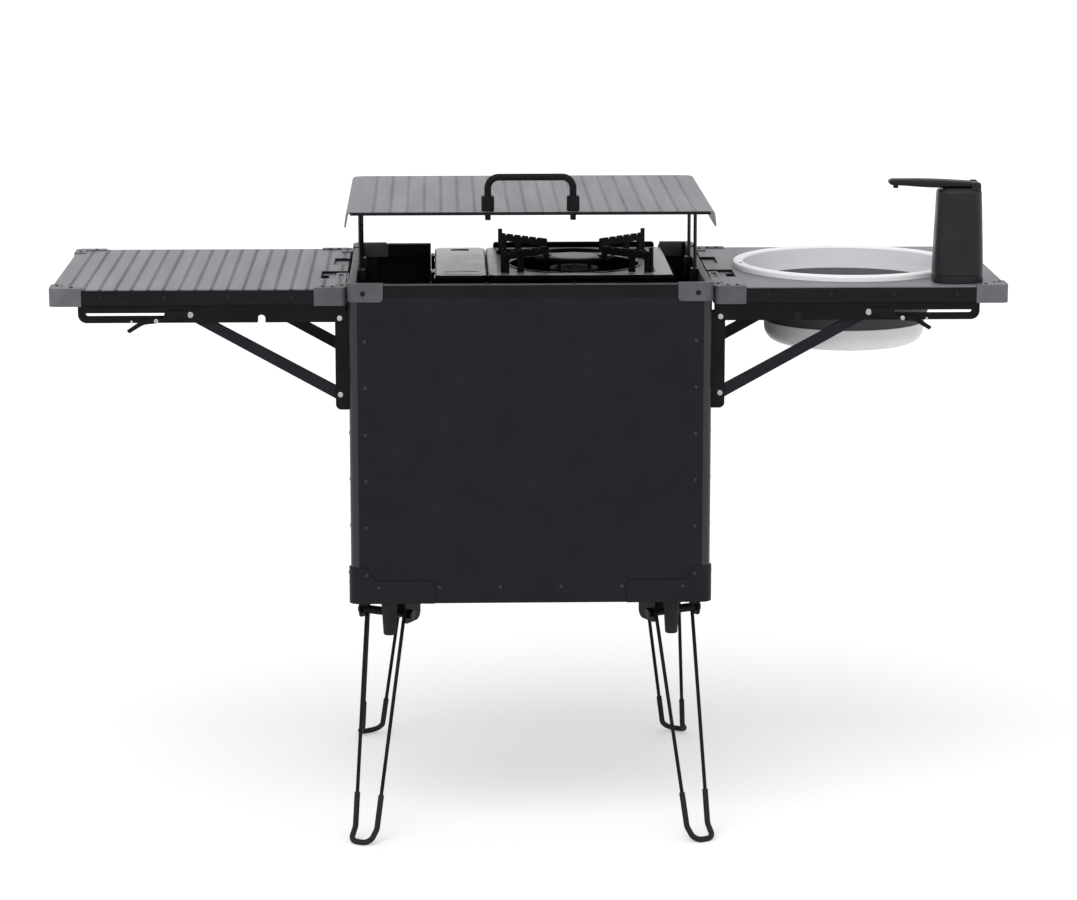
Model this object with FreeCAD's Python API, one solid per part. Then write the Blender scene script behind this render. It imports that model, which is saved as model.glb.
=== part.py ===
import FreeCAD, Part
import math
import os

from FreeCAD import Placement, Rotation, Vector

# A camp kitchen box on folding wire legs: a riveted sheet box with a stove let into its top,
# a lid that rides on four posts, and a folding wing on each side, the right one with a basin
# and a water pump.
# Millimetres. The cook stands at +Y. +X is to the right seen from the back, +Z is up,
# and the origin is on the ground under the middle of the box.

# Shared clearances
overrun = 5.0             # how far a cutting shape passes the faces it cuts
moving_gap = 0.3          # between flat faces that move past each other
running_fit = 0.05        # radial gap of a pin or post in its hole
touch_limit = 0.001       # runs shorter than this are left out of an outline
full_turn = 360.0

# Box
box_width = 500.0
box_depth = 420.0
box_height = 448.0
ground_clearance = 326.0
panel_wall = 2.0
floor_wall = 2.0
floor_lip = 14.0
post_nose_radius = 12.0
post_flange = 34.0
post_wall = 2.0

# Top rails
rail_width = 10.0
rail_height = 18.0
rail_wall = 2.0
rail_edge_radius = 3.0
rail_lip_up = 6.0
rail_lip_down = 12.0

# Corner covers
bracket_length = 49.0
bracket_height = 24.0
bracket_wall = 1.5
bracket_radius = 6.0
guard_length = 119.0
guard_height = 32.0
guard_corner_height = 51.0
guard_corner_length = 26.0
guard_wall = 2.5
guard_radius = 9.0

# Notch and shelf for the stove
notch_right_inset = 41.0   # from the box's right side
notch_width = 346.0
notch_depth = 96.0
notch_radius = 6.0
shelf_wall = 2.0
shelf_cheek = 40.0
ledge_leg = 16.0
ledge_wall = 2.0
notch_post_width = 18.0
notch_post_wall = 1.5
notch_post_tail = 30.0

# Stove
stove_side_gap = 3.0
stove_front_inset = 4.0
stove_width = 337.5
stove_depth = 292.0
stove_height = 90.0
stove_wall = 1.5
stove_radius = 12.0
stove_foot_radius = 10.0
stove_foot_height = 5.0
stove_cap_height = 14.0
stove_edge_radius = 4.0
canister_bay_width = 74.5
fascia_wall = 4.0
fascia_rise = 8.0
top_recess_left_border = 16.0
top_recess_right_border = 25.0
top_recess_border = 22.0
top_recess_depth = 5.0
top_recess_radius = 18.0
top_seam_width = 1.0
top_seam_depth = 0.7

# Burner and drip pan
burner_side_inset = 136.0
burner_front_inset = 146.0
pan_radius = 92.0
pan_lip_width = 3.5
pan_floor_radius = 76.0
pan_depth = 11.0
pan_wall = 1.2
pan_bend_radius = 6.0
pan_well_radius = 40.0
pan_well_rise = 4.0
burner_cap_radius = 36.3
burner_cap_wall = 4.0
burner_cap_crown = 33.0
burner_cap_rise = 8.0
burner_post_radius = 2.1
burner_post_circle = 30.7
burner_post_count = 4
burner_cup_radius = 35.0
burner_cup_height = 13.0
burner_foot_radius = 16.0
burner_tube_radius = 11.0
burner_tube_wall = 1.5
burner_port_radius = 1.6
burner_port_count = 16

# Pan support
support_reach = 144.0
support_inner_leg = 112.0
support_ring_radius = 58.5
support_ring_width = 3.5
support_ring_height = 4.0
support_ring_rise = 15.5
support_arm_wall = 4.0
support_arm_depth = 11.0
support_arm_rise = 32.0
support_tip_rise = 38.0
support_tip_width = 5.0
support_outer_leg_width = 14.0
support_inner_leg_width = 10.0
support_root_length = 8.0
support_bend_radius = 3.0
support_arm_count = 4
support_tooth_count = 5
support_tooth_depth = 2.5
support_gap_share = 0.35
support_teeth_start = 62.0
support_teeth_end = 139.0

# Gas canister and its cover
canister_radius = 33.0
canister_length = 182.0
canister_shoulder_radius = 8.0
canister_collar_radius = 22.0
canister_collar_height = 6.0
canister_valve_radius = 8.0
canister_valve_height = 8.0
canister_start = 12.0
cover_gap = 0.6
cover_slot_length = 27.0
cover_slot_width = 17.0
cover_slot_inset = 20.0
cover_slot_radius = 5.0
cover_groove_inset = 36.0
cover_groove_width = 6.0
cover_groove_depth = 0.7
cover_groove_margin = 12.0
hinge_pin_radius = 1.2
hinge_barrel_radius = 2.4
hinge_barrel_length = 14.0
hinge_end_length = 7.0
hinge_inset = 62.0
hinge_drop = 4.0          # of the hinge's axis below the stove's top
hinge_ear_drop = 8.0      # of the ears' foot below the casing's rim

# Stove controls
knob_inset = 33.0
knob_rise = 40.0
knob_radius = 21.0
knob_depth = 15.0
knob_skirt = 3.0
knob_skirt_radius = 24.0
knob_grip_width = 11.0
knob_grip_depth = 8.0
knob_edge_radius = 2.0
knob_shaft_radius = 4.0
knob_shaft_length = 8.0
gas_lever_inset = 51.5
gas_lever_rise = 58.0
gas_lever_width = 18.0
gas_lever_height = 12.0
gas_lever_reach = 13.0
gas_lever_stem = 5.0
gas_lever_travel = 22.0
gas_lever_radius = 3.0

# Lid on its four posts
lid_side_overhang = 1.5
lid_end_overhang = 1.0
lid_rise = 100.0
lid_wall = 2.5
lid_flange = 21.0
lid_flare = 3.0
lid_bend_radius = 4.0
lid_front_radius = 6.0
lid_rear_radius = 24.0
lid_post_radius = 2.5
lid_post_inset = 14.0
lid_post_spacing_y = 120.0
lid_post_length = 158.0
lid_post_head_radius = 7.0
lid_post_head_height = 2.0
guide_width = 10.0
guide_length = 16.0
guide_height = 30.0
guide_radius = 2.0

# Lid handle
handle_width = 126.0
handle_rise = 51.0
handle_rod_radius = 4.75
handle_bend_radius = 15.0
handle_collar_radius = 8.85
handle_collar_height = 21.0
handle_stud_radius = 4.0
handle_stud_length = 10.0
handle_inset = 11.0

# Wings
wing_length = 404.0
wing_side_inset = 11.0    # from the box's front and rear faces
wing_gap = 4.0
wing_drop = 6.5
wing_height = 22.0
wing_plate_wall = 2.0
wing_plate_inset = 0.8
wing_corner_radius = 8.0
wing_rim_width = 16.0
wing_rim_wall = 2.0
wing_cap_length = 43.0
wing_cap_wall = 1.5
wing_cap_leaf = 14.0
wing_cap_overhang = 1.5
wing_cap_radius = 4.0
pocket_offset_share = 0.165
front_pocket_width = 70.0
front_pocket_depth = 37.0
rear_pocket_width = 65.0
rear_pocket_depth = 22.0
pocket_radius = 3.0
leaf_wall = 1.5
leaf_margin = 5.0
leaf_hole_length = 54.0
leaf_hole_width = 11.0
latch_wall = 1.8
latch_margin = 4.0
latch_reach = 2.0
latch_travel = 10.0
latch_grip_length = 40.0
latch_grip_width = 7.0

# Folding brackets under the wings
bracket_inset = 9.0       # from the wing's side to the middle of a bracket
pivot_standoff = 12.0
pivot_rise = 5.4
arm_height = 24.7
arm_reach = 358.0
arm_tail = 8.0
arm_wall = 1.5
arm_inner_half = 5.2
arm_end_radius = 12.0
arm_tail_radius = 5.0
wall_channel_depth = 18.6
wall_channel_wall = 1.5
wall_channel_inner_half = 3.4
wall_channel_foot = 21.0
wall_channel_head = 8.0
wall_channel_radius = 7.5
pivot_spacing = 107.0
pivot_radius = 2.5
rivet_head_radius = 4.0
rivet_head_height = 1.3
strut_half_width = 8.25
strut_tip_half_width = 7.0
strut_half_thickness = 3.0
strut_wall = 1.5
strut_solid_end = 14.0
slot_start = 204.5
slot_rise = 5.5
slot_play = 8.0
strut_notch_half_width = 5.2
strut_notch_rise = 5.2
washer_radius = 4.0
washer_thickness = 1.4
pin_head_radius = 4.5
pin_head_height = 1.3

# Release levers on the arms
lever_pivot_reach = 251.0
lever_pivot_rise = 3.0
lever_wall = 1.5
lever_stub_radius = 1.5
lever_head_radius = 2.8
lever_head_height = 0.8
lever_ear = 3.0
lever_reach = 41.0
lever_drop = 17.0
lever_tip = 4.0
lever_round = 1.4

# Basin
basin_offset = 1.0        # from the middle of the wing towards the box
basin_rim_radius = 160.0
basin_rim_rise = 8.5
basin_rim_wall = 3.0
basin_hole_radius = 150.0
basin_collar_gap = 1.5
basin_collar_depth = 28.5
basin_depth = 116.0
basin_wall = 2.2
basin_bowl_radius = 115.0
basin_bowl_height = 32.0
basin_bowl_draft = 3.0
basin_bowl_corner = 22.0
basin_soft_lower_radius = 114.0
basin_soft_overlap = 17.0
basin_fold_width = 9.0

# Water pump
pump_end_inset = 64.0     # from the wing's outer end and its side to the pump's middle
pump_side_inset = 45.0
pump_height = 129.0
pump_base_width = 69.0
pump_base_depth = 58.0
pump_top_width = 61.0
pump_top_depth = 51.0
pump_corner_radius = 20.0
pump_foot_height = 12.0
pump_foot_groove = 1.2
pump_foot_groove_height = 1.6
pump_edge_radius = 4.0
spout_length = 126.0
spout_thickness = 11.0
spout_width = 27.0
spout_tip_width = 20.0
spout_rise = 2.5
spout_tip_drop = 3.0
spout_nozzle_radius = 5.0
spout_nozzle_length = 4.0
spout_nozzle_inset = 13.0
spout_pin_inset = 8.0
spout_pin_radius = 2.0
spout_ear_wall = 4.0
spout_ear_length = 15.0

# Folding wire legs
leg_side_inset = 47.0
leg_end_inset = 50.0
leg_axis_angle = 28.0
leg_hinge_drop = 23.0
leg_barrel_radius = 6.0
leg_ear_gap = 70.0
leg_ear_wall = 2.5
leg_base_wall = 2.5
leg_base_overhang = 3.0
leg_base_outer = 10.0
leg_base_inner = 34.0
leg_outer_ear_width = 20.0
leg_outer_ear_drop = 11.0
leg_inner_ear_drop = 13.0
leg_ear_radius = 6.0
leg_inner_ear_radius = 12.0
leg_skirt_side = 17.0
leg_skirt_middle = 8.0
leg_skirt_shoulder = 14.0
leg_skirt_radius = 4.0
leg_bolt_radius = 3.0
leg_bolt_head_radius = 6.5
leg_bolt_head_length = 7.0
leg_nut_length = 4.0
leg_wire_radius = 2.6
leg_wire_spacing = 60.0
leg_wire_root = 4.2
leg_ankle_spacing = 34.0
leg_ankle_side = 23.0
leg_ankle_out = 103.0
leg_ankle_height = 18.0
leg_foot_spacing = 30.0
leg_foot_side = 26.5
leg_foot_out = 126.5
leg_ankle_radius = 10.0
leg_foot_radius = 12.0
sleeve_radius = 4.0
sleeve_length = 48.0

# Rest feet under the box
rest_foot_side_inset = 53.0
rest_foot_end_inset = 13.0
rest_foot_height = 47.0
rest_foot_top_radius = 12.0
rest_foot_bottom_radius = 8.6
rest_foot_edge_radius = 1.5
rest_foot_recess_radius = 3.5
rest_foot_recess_depth = 4.0

# Places that follow from the sizes above
half_width = box_width / 2
half_depth = box_depth / 2
box_bottom = ground_clearance
box_top = ground_clearance + box_height
rail_bottom = box_top - rail_height
floor_top = box_bottom + floor_wall
shelf_top = box_top - notch_depth
notch_right = half_width - notch_right_inset
notch_left = notch_right - notch_width
stove_right = notch_right - stove_side_gap
stove_left = stove_right - stove_width
stove_front = half_depth - stove_front_inset
stove_back = stove_front - stove_depth
stove_divider = stove_left + canister_bay_width
stove_top_z = shelf_top + stove_height
stove_rim_z = stove_top_z - stove_cap_height
stove_floor_z = shelf_top + stove_foot_height
top_recess_left = stove_divider + top_recess_left_border
top_recess_right = stove_right - top_recess_right_border
top_back = stove_back + top_recess_border
top_front = stove_front - top_recess_border
recess_z = stove_top_z - top_recess_depth
burner_x = stove_right - burner_side_inset
burner_y = stove_front - burner_front_inset
pan_floor_z = recess_z - pan_depth
burner_cap_top = stove_top_z + burner_cap_rise
burner_cap_low = burner_cap_top - burner_cap_wall
burner_cup_low = pan_floor_z - burner_cup_height / 2
mixing_tube_z = (stove_floor_z + burner_cup_low) / 2
lid_width = box_width + lid_side_overhang * 2
lid_depth = box_depth + lid_end_overhang * 2
lid_post_spacing_x = box_width - lid_post_inset * 2
lid_top = box_top + lid_rise
lid_bottom = lid_top - lid_wall
wing_top = box_top - wing_drop
wing_bottom = wing_top - wing_height
wing_inner = half_width + wing_gap
wing_outer = wing_inner + wing_length
wing_depth = box_depth - wing_side_inset * 2
bracket_plane = wing_depth / 2 - bracket_inset
basin_x = (wing_inner + wing_outer) / 2 - basin_offset
pump_x = wing_outer - pump_end_inset
pump_y = pump_side_inset - wing_depth / 2
pivot_x = half_width + pivot_standoff
pivot_z = wing_bottom - arm_height + pivot_rise
lower_pivot_z = pivot_z - pivot_spacing
arm_outer_half = arm_inner_half + arm_wall
wall_channel_outer_half = wall_channel_inner_half + wall_channel_wall
slot_z = pivot_z + slot_rise
strut_length = math.hypot(slot_start, pivot_spacing + slot_rise)
strut_rest_angle = math.degrees(math.asin((pivot_spacing + slot_rise) / strut_length))
strut_pin_end = pivot_spacing + math.sqrt(strut_length ** 2 - slot_rise ** 2)
lever_x = pivot_x + lever_pivot_reach
lever_z = wing_bottom - arm_height + lever_pivot_rise
lever_plane = arm_outer_half + moving_gap + pin_head_height + moving_gap
basin_top = wing_top + basin_rim_rise
basin_bottom = basin_top - basin_depth
basin_soft_top = wing_top - basin_collar_depth + basin_soft_overlap
basin_soft_bottom = basin_bottom + basin_bowl_height
pump_top = wing_top + pump_height
spout_bottom = pump_top + spout_rise
spout_pin_x = pump_x + pump_top_width / 2 - spout_pin_inset
spout_pin_z = spout_bottom + spout_thickness / 2
leg_hinge_z = box_bottom - leg_hinge_drop
leg_x = half_width - leg_side_inset
leg_y = half_depth - leg_end_inset
rest_foot_x = half_width - rest_foot_side_inset
rest_foot_y = half_depth - rest_foot_end_inset
cover_hinge_x = stove_left - hinge_barrel_radius - moving_gap
cover_hinge_z = stove_top_z - hinge_drop
knob_x = stove_divider + knob_inset
knob_z = shelf_top + knob_rise
gas_lever_x = stove_left + gas_lever_inset
gas_lever_z = shelf_top + gas_lever_rise


def block(x_low, x_high, y_low, y_high, z_low, z_high):
    """A box between two corners."""
    return Part.makeBox(x_high - x_low, y_high - y_low, z_high - z_low, Vector(x_low, y_low, z_low))


def rounded_wire(points, radii, closed=True):
    """Straight runs joined by tangent arcs; a radius of zero keeps the corner sharp."""
    corners = []
    last = len(points) - 1
    for index, here in enumerate(points):
        loose_end = not closed and index in (0, last)
        if loose_end or radii[index] == 0:
            corners.append((here, here, None))
            continue
        back = (points[index - 1] - here).normalize()
        ahead = (points[(index + 1) % len(points)] - here).normalize()
        half_angle = back.getAngle(ahead) / 2
        setback = radii[index] / math.tan(half_angle)
        reach = radii[index] / math.sin(half_angle) - radii[index]
        middle = here + (back + ahead).normalize() * reach
        corners.append((here + back * setback, here + ahead * setback, middle))
    edges = []
    for index, (entry, leave, middle) in enumerate(corners):
        if middle is not None:
            edges.append(Part.Arc(entry, middle, leave).toShape())
        if closed or index < last:
            following = corners[(index + 1) % len(corners)][0]
            if (following - leave).Length > touch_limit:
                edges.append(Part.LineSegment(leave, following).toShape())
    return Part.Wire(edges)


def plan_prism(outline, radii, z_low, z_high):
    """An outline of x and y pairs, raised from one height to another."""
    wire = rounded_wire([Vector(x, y, z_low) for x, y in outline], radii)
    return Part.Face(wire).extrude(Vector(0, 0, z_high - z_low))


def along_x(outline, radii, x_low, x_high):
    """An outline of y and z pairs, drawn out along X."""
    wire = rounded_wire([Vector(x_low, y, z) for y, z in outline], radii)
    return Part.Face(wire).extrude(Vector(x_high - x_low, 0, 0))


def along_y(outline, radii, y_low, y_high):
    """An outline of x and z pairs, drawn out along Y."""
    wire = rounded_wire([Vector(x, y_low, z) for x, z in outline], radii)
    return Part.Face(wire).extrude(Vector(0, y_high - y_low, 0))


def rounded_prism(x_low, x_high, y_low, y_high, z_low, z_high, radius):
    """An upright box with rounded vertical edges."""
    outline = [(x_low, y_low), (x_high, y_low), (x_high, y_high), (x_low, y_high)]
    return plan_prism(outline, [radius] * len(outline), z_low, z_high)


def rounded_rectangle(x_low, x_high, y_low, y_high, z, radius):
    """A level rectangle with rounded corners, as a wire for a loft."""
    outline = [(x_low, y_low), (x_high, y_low), (x_high, y_high), (x_low, y_high)]
    return rounded_wire([Vector(x, y, z) for x, y in outline], [radius] * len(outline))


def turned(profile, radii, base, direction):
    """A profile of radius and height pairs, turned about its axis and set on a base point."""
    wire = rounded_wire([Vector(radius, 0, height) for radius, height in profile], radii)
    solid = Part.Face(wire).revolve(Vector(0, 0, 0), Vector(0, 0, 1), full_turn)
    solid.Placement = Placement(base, Rotation(Vector(0, 0, 1), direction))
    return solid


def cylinder(radius, start, end):
    """A round bar between two points."""
    return Part.makeCylinder(radius, (end - start).Length, start, end - start)


def rod_along(points, radii, radius):
    """A round rod that follows straight runs and tangent bends."""
    path = rounded_wire(points, radii, closed=False)
    section = Part.Wire(Part.makeCircle(radius, points[0], points[1] - points[0]))
    return path.makePipeShell([section], True, False)


def across_x(shape):
    """The mirror image on the other side of the middle, left for right."""
    return shape.mirror(Vector(0, 0, 0), Vector(1, 0, 0))


def across_y(shape):
    """The mirror image on the other side of the middle, front for rear."""
    return shape.mirror(Vector(0, 0, 0), Vector(0, 1, 0))


def on_both_planes(shape):
    """A bracket piece made at the rear plane, and its twin at the front plane."""
    return [shape, across_y(shape)]


def at_four_corners(shape):
    """A piece made for the rear right corner, repeated at all four."""
    right_pair = [shape, across_y(shape)]
    return right_pair + [across_x(piece) for piece in right_pair]


def box_outline(z_low, z_high, growth=0):
    """The rounded outline of the box between two heights, grown outwards evenly."""
    return rounded_prism(-half_width - growth, half_width + growth, -half_depth - growth,
                         half_depth + growth, z_low, z_high, post_nose_radius + growth)


def corner_squares(z_low, z_high):
    """The squares that the corner posts and their flanges take up."""
    square = block(half_width - post_flange, half_width + overrun, half_depth - post_flange,
                   half_depth + overrun, z_low, z_high)
    return Part.makeCompound(at_four_corners(square))


def make_front_panel():
    """Plain sheet between the two corner noses, from the floor to the rail."""
    reach = half_width - post_nose_radius
    return block(-reach, reach, -half_depth, panel_wall - half_depth, floor_top, rail_bottom)


def make_rear_panel():
    """Sheet on the cook's side, cut down in the middle to let the stove's front show."""
    reach = half_width - post_nose_radius
    outline = [(-reach, floor_top), (reach, floor_top), (reach, rail_bottom),
               (notch_right, rail_bottom), (notch_right, shelf_top), (notch_left, shelf_top),
               (notch_left, rail_bottom), (-reach, rail_bottom)]
    radii = [0, 0, 0, 0, notch_radius, notch_radius, 0, 0]
    return along_y(outline, radii, half_depth - panel_wall, half_depth)


def make_right_panel():
    """Plain side sheet between the corner noses."""
    reach = half_depth - post_nose_radius
    return block(half_width - panel_wall, half_width, -reach, reach, floor_top, rail_bottom)


def make_bottom_panel():
    """Floor plate with the box's rounded outline and a turned-up lip between the posts."""
    plate = box_outline(box_bottom, floor_top)
    lip_top = floor_top + floor_lip
    outside = block(panel_wall - half_width, half_width - panel_wall, panel_wall - half_depth,
                    half_depth - panel_wall, floor_top, lip_top)
    inset = panel_wall + floor_wall
    inside = block(inset - half_width, half_width - inset, inset - half_depth,
                   half_depth - inset, floor_top, lip_top)
    lip = outside.cut(inside).cut(corner_squares(floor_top, lip_top))
    return plate.fuse(lip).removeSplitter()


def make_corner_posts():
    """Extruded corner posts: a round nose outside, and two flanges behind the sheets."""
    x_face = half_width - panel_wall
    y_face = half_depth - panel_wall
    outline = [(half_width, half_depth), (half_width, half_depth - post_nose_radius),
               (x_face, half_depth - post_nose_radius), (x_face, half_depth - post_flange),
               (x_face - post_wall, half_depth - post_flange), (x_face - post_wall, y_face - post_wall),
               (half_width - post_flange, y_face - post_wall), (half_width - post_flange, y_face),
               (half_width - post_nose_radius, y_face), (half_width - post_nose_radius, half_depth)]
    radii = [post_nose_radius - touch_limit] + [0] * (len(outline) - 1)
    return at_four_corners(plan_prism(outline, radii, floor_top, rail_bottom))


def rail_section(edge):
    """Points of the rail's section, measured inwards from the edge it runs along.

    The channel is open below, and its outer wall ends in a lip behind the sheet."""
    lip_face = panel_wall + rail_wall
    inward = [(0, rail_bottom), (0, box_top), (rail_width, box_top), (rail_width, rail_bottom),
              (rail_width - rail_wall, rail_bottom), (rail_width - rail_wall, box_top - rail_wall),
              (rail_wall, box_top - rail_wall), (rail_wall, rail_bottom + rail_lip_up),
              (lip_face, rail_bottom + rail_lip_up), (lip_face, rail_bottom - rail_lip_down),
              (panel_wall, rail_bottom - rail_lip_down), (panel_wall, rail_bottom)]
    outline = [(edge - offset, z) for offset, z in inward]
    radii = [0, rail_edge_radius] + [0] * (len(inward) - 2)
    return outline, radii


def make_top_rails():
    """Front rail over the full width, and two short rear rails beside the stove notch."""
    outline, radii = rail_section(half_depth)
    trim = box_outline(rail_bottom - rail_lip_down - overrun, box_top)
    squares = corner_squares(rail_bottom - rail_lip_down - overrun, rail_bottom)
    front = across_y(along_x(outline, radii, -half_width, half_width))
    rear_left = along_x(outline, radii, -half_width, notch_left)
    rear_right = along_x(outline, radii, notch_right, half_width)
    return [rail.common(trim).cut(squares) for rail in (front, rear_left, rear_right)]


def make_side_rails():
    """Rails along the two sides, between the front and rear rails."""
    outline, radii = rail_section(half_width)
    squares = corner_squares(rail_bottom - rail_lip_down - overrun, rail_bottom)
    reach = half_depth - rail_width
    right = along_y(outline, radii, -reach, reach).cut(squares)
    return [right, across_x(right)]


def corner_wrap(wall, z_low, z_high, side_outline, side_radii):
    """A sheet folded round the rear right corner, trimmed to one outline on both sides.

    The outline gives distance in from the corner and height."""
    shell = box_outline(z_low, z_high, wall).cut(box_outline(z_low - overrun, min(z_high, box_top)))
    over_x = [(half_width + wall - inset, z) for inset, z in side_outline]
    over_y = [(half_depth + wall - inset, z) for inset, z in side_outline]
    trim_x = along_y(over_x, side_radii, 0, half_depth + overrun)
    trim_y = along_x(over_y, side_radii, 0, half_width + overrun)
    return shell.common(trim_x).common(trim_y)


def make_top_corner_brackets():
    """Corner brackets over the rails, with rounded lower corners and an open inner square."""
    low = box_top - bracket_height
    high = box_top + bracket_wall
    outline = [(0, low), (bracket_length, low), (bracket_length, high), (0, high)]
    radii = [0, bracket_radius, 0, 0]
    wrap = corner_wrap(bracket_wall, low, high, outline, radii)
    inner_square = block(0, half_width - rail_width, 0, half_depth - rail_width, low, high + overrun)
    return at_four_corners(wrap.cut(inner_square))


def make_bottom_corner_guards():
    """Bumper guards round the lower corners, taller at the corner than along the sides."""
    low = box_bottom
    outline = [(0, low), (guard_length, low), (guard_length, low + guard_height),
               (guard_corner_length + guard_radius, low + guard_height),
               (guard_corner_length, low + guard_corner_height), (0, low + guard_corner_height)]
    radii = [0, 0, guard_radius, guard_radius, guard_radius, 0]
    return at_four_corners(corner_wrap(guard_wall, low, low + guard_corner_height, outline, radii))


def make_stove_shelf():
    """Tray under the stove from the front sheet to the rear sheet, with upright cheeks."""
    left = notch_left - shelf_wall
    right = notch_right + shelf_wall
    cheek_top = shelf_top + shelf_cheek
    bottom = shelf_top - shelf_wall
    outline = [(left, cheek_top), (left, bottom), (right, bottom), (right, cheek_top),
               (notch_right, cheek_top), (notch_right, shelf_top), (notch_left, shelf_top),
               (notch_left, cheek_top)]
    radii = [0, shelf_wall, shelf_wall, 0, 0, 0, 0, 0]
    reach = half_depth - panel_wall
    tray = along_y(outline, radii, -reach, reach)
    post_pocket = half_depth - rail_width - moving_gap
    for side_low, side_high in ((left - overrun, notch_left), (notch_right, right + overrun)):
        tray = tray.cut(block(side_low, side_high, post_pocket, half_depth, bottom - overrun,
                              cheek_top + overrun))
    return tray


def make_stove_bay_frame():
    """Two ledges that carry the shelf, and the upright tubes beside the notch."""
    bottom = shelf_top - shelf_wall
    inner = half_depth - panel_wall
    outline = [(inner, bottom), (inner - ledge_leg, bottom), (inner - ledge_leg, bottom - ledge_wall),
               (inner - ledge_wall, bottom - ledge_wall), (inner - ledge_wall, bottom - ledge_leg),
               (inner, bottom - ledge_leg)]
    ledge = along_x(outline, [0] * len(outline), notch_left + ledge_wall, notch_right - ledge_wall)
    top = rail_bottom - rail_lip_down
    low = shelf_top - notch_post_tail
    pieces = [ledge, across_y(ledge)]
    right_end = half_width - post_flange - moving_gap
    for sides in ((notch_left - notch_post_width, notch_left), (notch_right, right_end)):
        outside = rounded_prism(*sides, half_depth - rail_width, inner, low, top, notch_post_wall)
        inside = block(sides[0] + notch_post_wall, sides[1] - notch_post_wall,
                       half_depth - rail_width + notch_post_wall, inner - notch_post_wall,
                       low - overrun, top + overrun)
        pieces.append(outside.cut(inside))
    return pieces


def make_lid_post_guides():
    """Guide blocks inside the side rails, each bored for one lid post."""
    x_high = half_width - rail_width
    y_middle = lid_post_spacing_y / 2
    guide = rounded_prism(x_high - guide_width, x_high, y_middle - guide_length / 2,
                          y_middle + guide_length / 2, box_top - guide_height, box_top, guide_radius)
    post_x = lid_post_spacing_x / 2
    bore = cylinder(lid_post_radius + running_fit, Vector(post_x, y_middle, box_top - guide_height - overrun),
                    Vector(post_x, y_middle, box_top + overrun))
    return at_four_corners(guide.cut(bore))


def make_rest_feet():
    """Tapered rubber feet that the box stands on when its legs are folded."""
    profile = [(0, 0), (rest_foot_top_radius, 0), (rest_foot_bottom_radius, rest_foot_height),
               (rest_foot_recess_radius, rest_foot_height),
               (rest_foot_recess_radius, rest_foot_height - rest_foot_recess_depth),
               (0, rest_foot_height - rest_foot_recess_depth)]
    radii = [0, 0, rest_foot_edge_radius, 0, 0, 0]
    foot = turned(profile, radii, Vector(rest_foot_x, rest_foot_y, box_bottom), Vector(0, 0, -1))
    return at_four_corners(foot)


def at_leg_corner(shape):
    """A leg piece drawn along its hinge axis, moved to the front left corner of the box."""
    placed = shape.copy()
    turn = Rotation(Vector(0, 0, 1), -leg_axis_angle)
    placed.Placement = Placement(Vector(-leg_x, -leg_y, 0), turn).multiply(placed.Placement)
    return placed


def make_leg_bracket():
    """Pressed bracket: a base, a narrow outer ear, a broad inner ear and an arched skirt."""
    inner_face = leg_ear_gap / 2
    outer_face = inner_face + leg_ear_wall
    base_reach = outer_face + leg_base_overhang
    base_bottom = box_bottom - leg_base_wall
    base = rounded_prism(-base_reach, base_reach, -leg_base_outer, leg_base_inner, base_bottom,
                         box_bottom, leg_ear_radius)
    narrow_low = leg_hinge_z - leg_outer_ear_drop
    narrow = along_x([(-leg_base_outer, base_bottom), (-leg_base_outer, narrow_low),
                      (leg_outer_ear_width - leg_base_outer, narrow_low),
                      (leg_outer_ear_width - leg_base_outer, base_bottom)],
                     [0, leg_ear_radius, leg_ear_radius, 0], -outer_face, -inner_face)
    broad_low = leg_hinge_z - leg_inner_ear_drop
    broad = along_x([(-leg_base_outer, base_bottom), (-leg_base_outer, broad_low),
                     (leg_base_inner, broad_low), (leg_base_inner, base_bottom)],
                    [0, leg_ear_radius, leg_inner_ear_radius, 0], inner_face, outer_face)
    shoulder = inner_face - leg_skirt_shoulder
    arch = [(-outer_face, base_bottom), (-outer_face, box_bottom - leg_skirt_side),
            (-shoulder, box_bottom - leg_skirt_side), (-shoulder, box_bottom - leg_skirt_middle),
            (shoulder, box_bottom - leg_skirt_middle), (shoulder, box_bottom - leg_skirt_side),
            (outer_face, box_bottom - leg_skirt_side), (outer_face, base_bottom)]
    arch_radii = [0, 0, leg_skirt_radius, leg_skirt_radius, leg_skirt_radius, leg_skirt_radius, 0, 0]
    skirt = along_y(arch, arch_radii, -leg_base_outer, leg_ear_wall - leg_base_outer)
    bore = cylinder(leg_bolt_radius + running_fit, Vector(-base_reach, 0, leg_hinge_z),
                    Vector(base_reach, 0, leg_hinge_z))
    bracket = base.multiFuse([narrow, broad, skirt]).removeSplitter()
    return bracket.cut(bore)


def make_leg_bolt():
    """Hinge bolt with a round head at the inner end and a six-sided nut at the outer end."""
    outer_face = leg_ear_gap / 2 + leg_ear_wall
    shaft = cylinder(leg_bolt_radius, Vector(-outer_face, 0, leg_hinge_z),
                     Vector(outer_face, 0, leg_hinge_z))
    head = turned([(0, 0), (leg_bolt_head_radius, 0), (leg_bolt_head_radius, leg_bolt_head_length),
                   (0, leg_bolt_head_length)], [0, 0, running_fit + lever_round, 0],
                  Vector(outer_face, 0, leg_hinge_z), Vector(1, 0, 0))
    side_count = 6
    points = []
    for index in range(side_count):
        angle = math.radians(full_turn * index / side_count)
        points.append((leg_bolt_head_radius * math.sin(angle),
                       leg_hinge_z + leg_bolt_head_radius * math.cos(angle)))
    nut = along_x(points, [0] * side_count, -outer_face - leg_nut_length, -outer_face)
    return shaft.multiFuse([head, nut])


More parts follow.
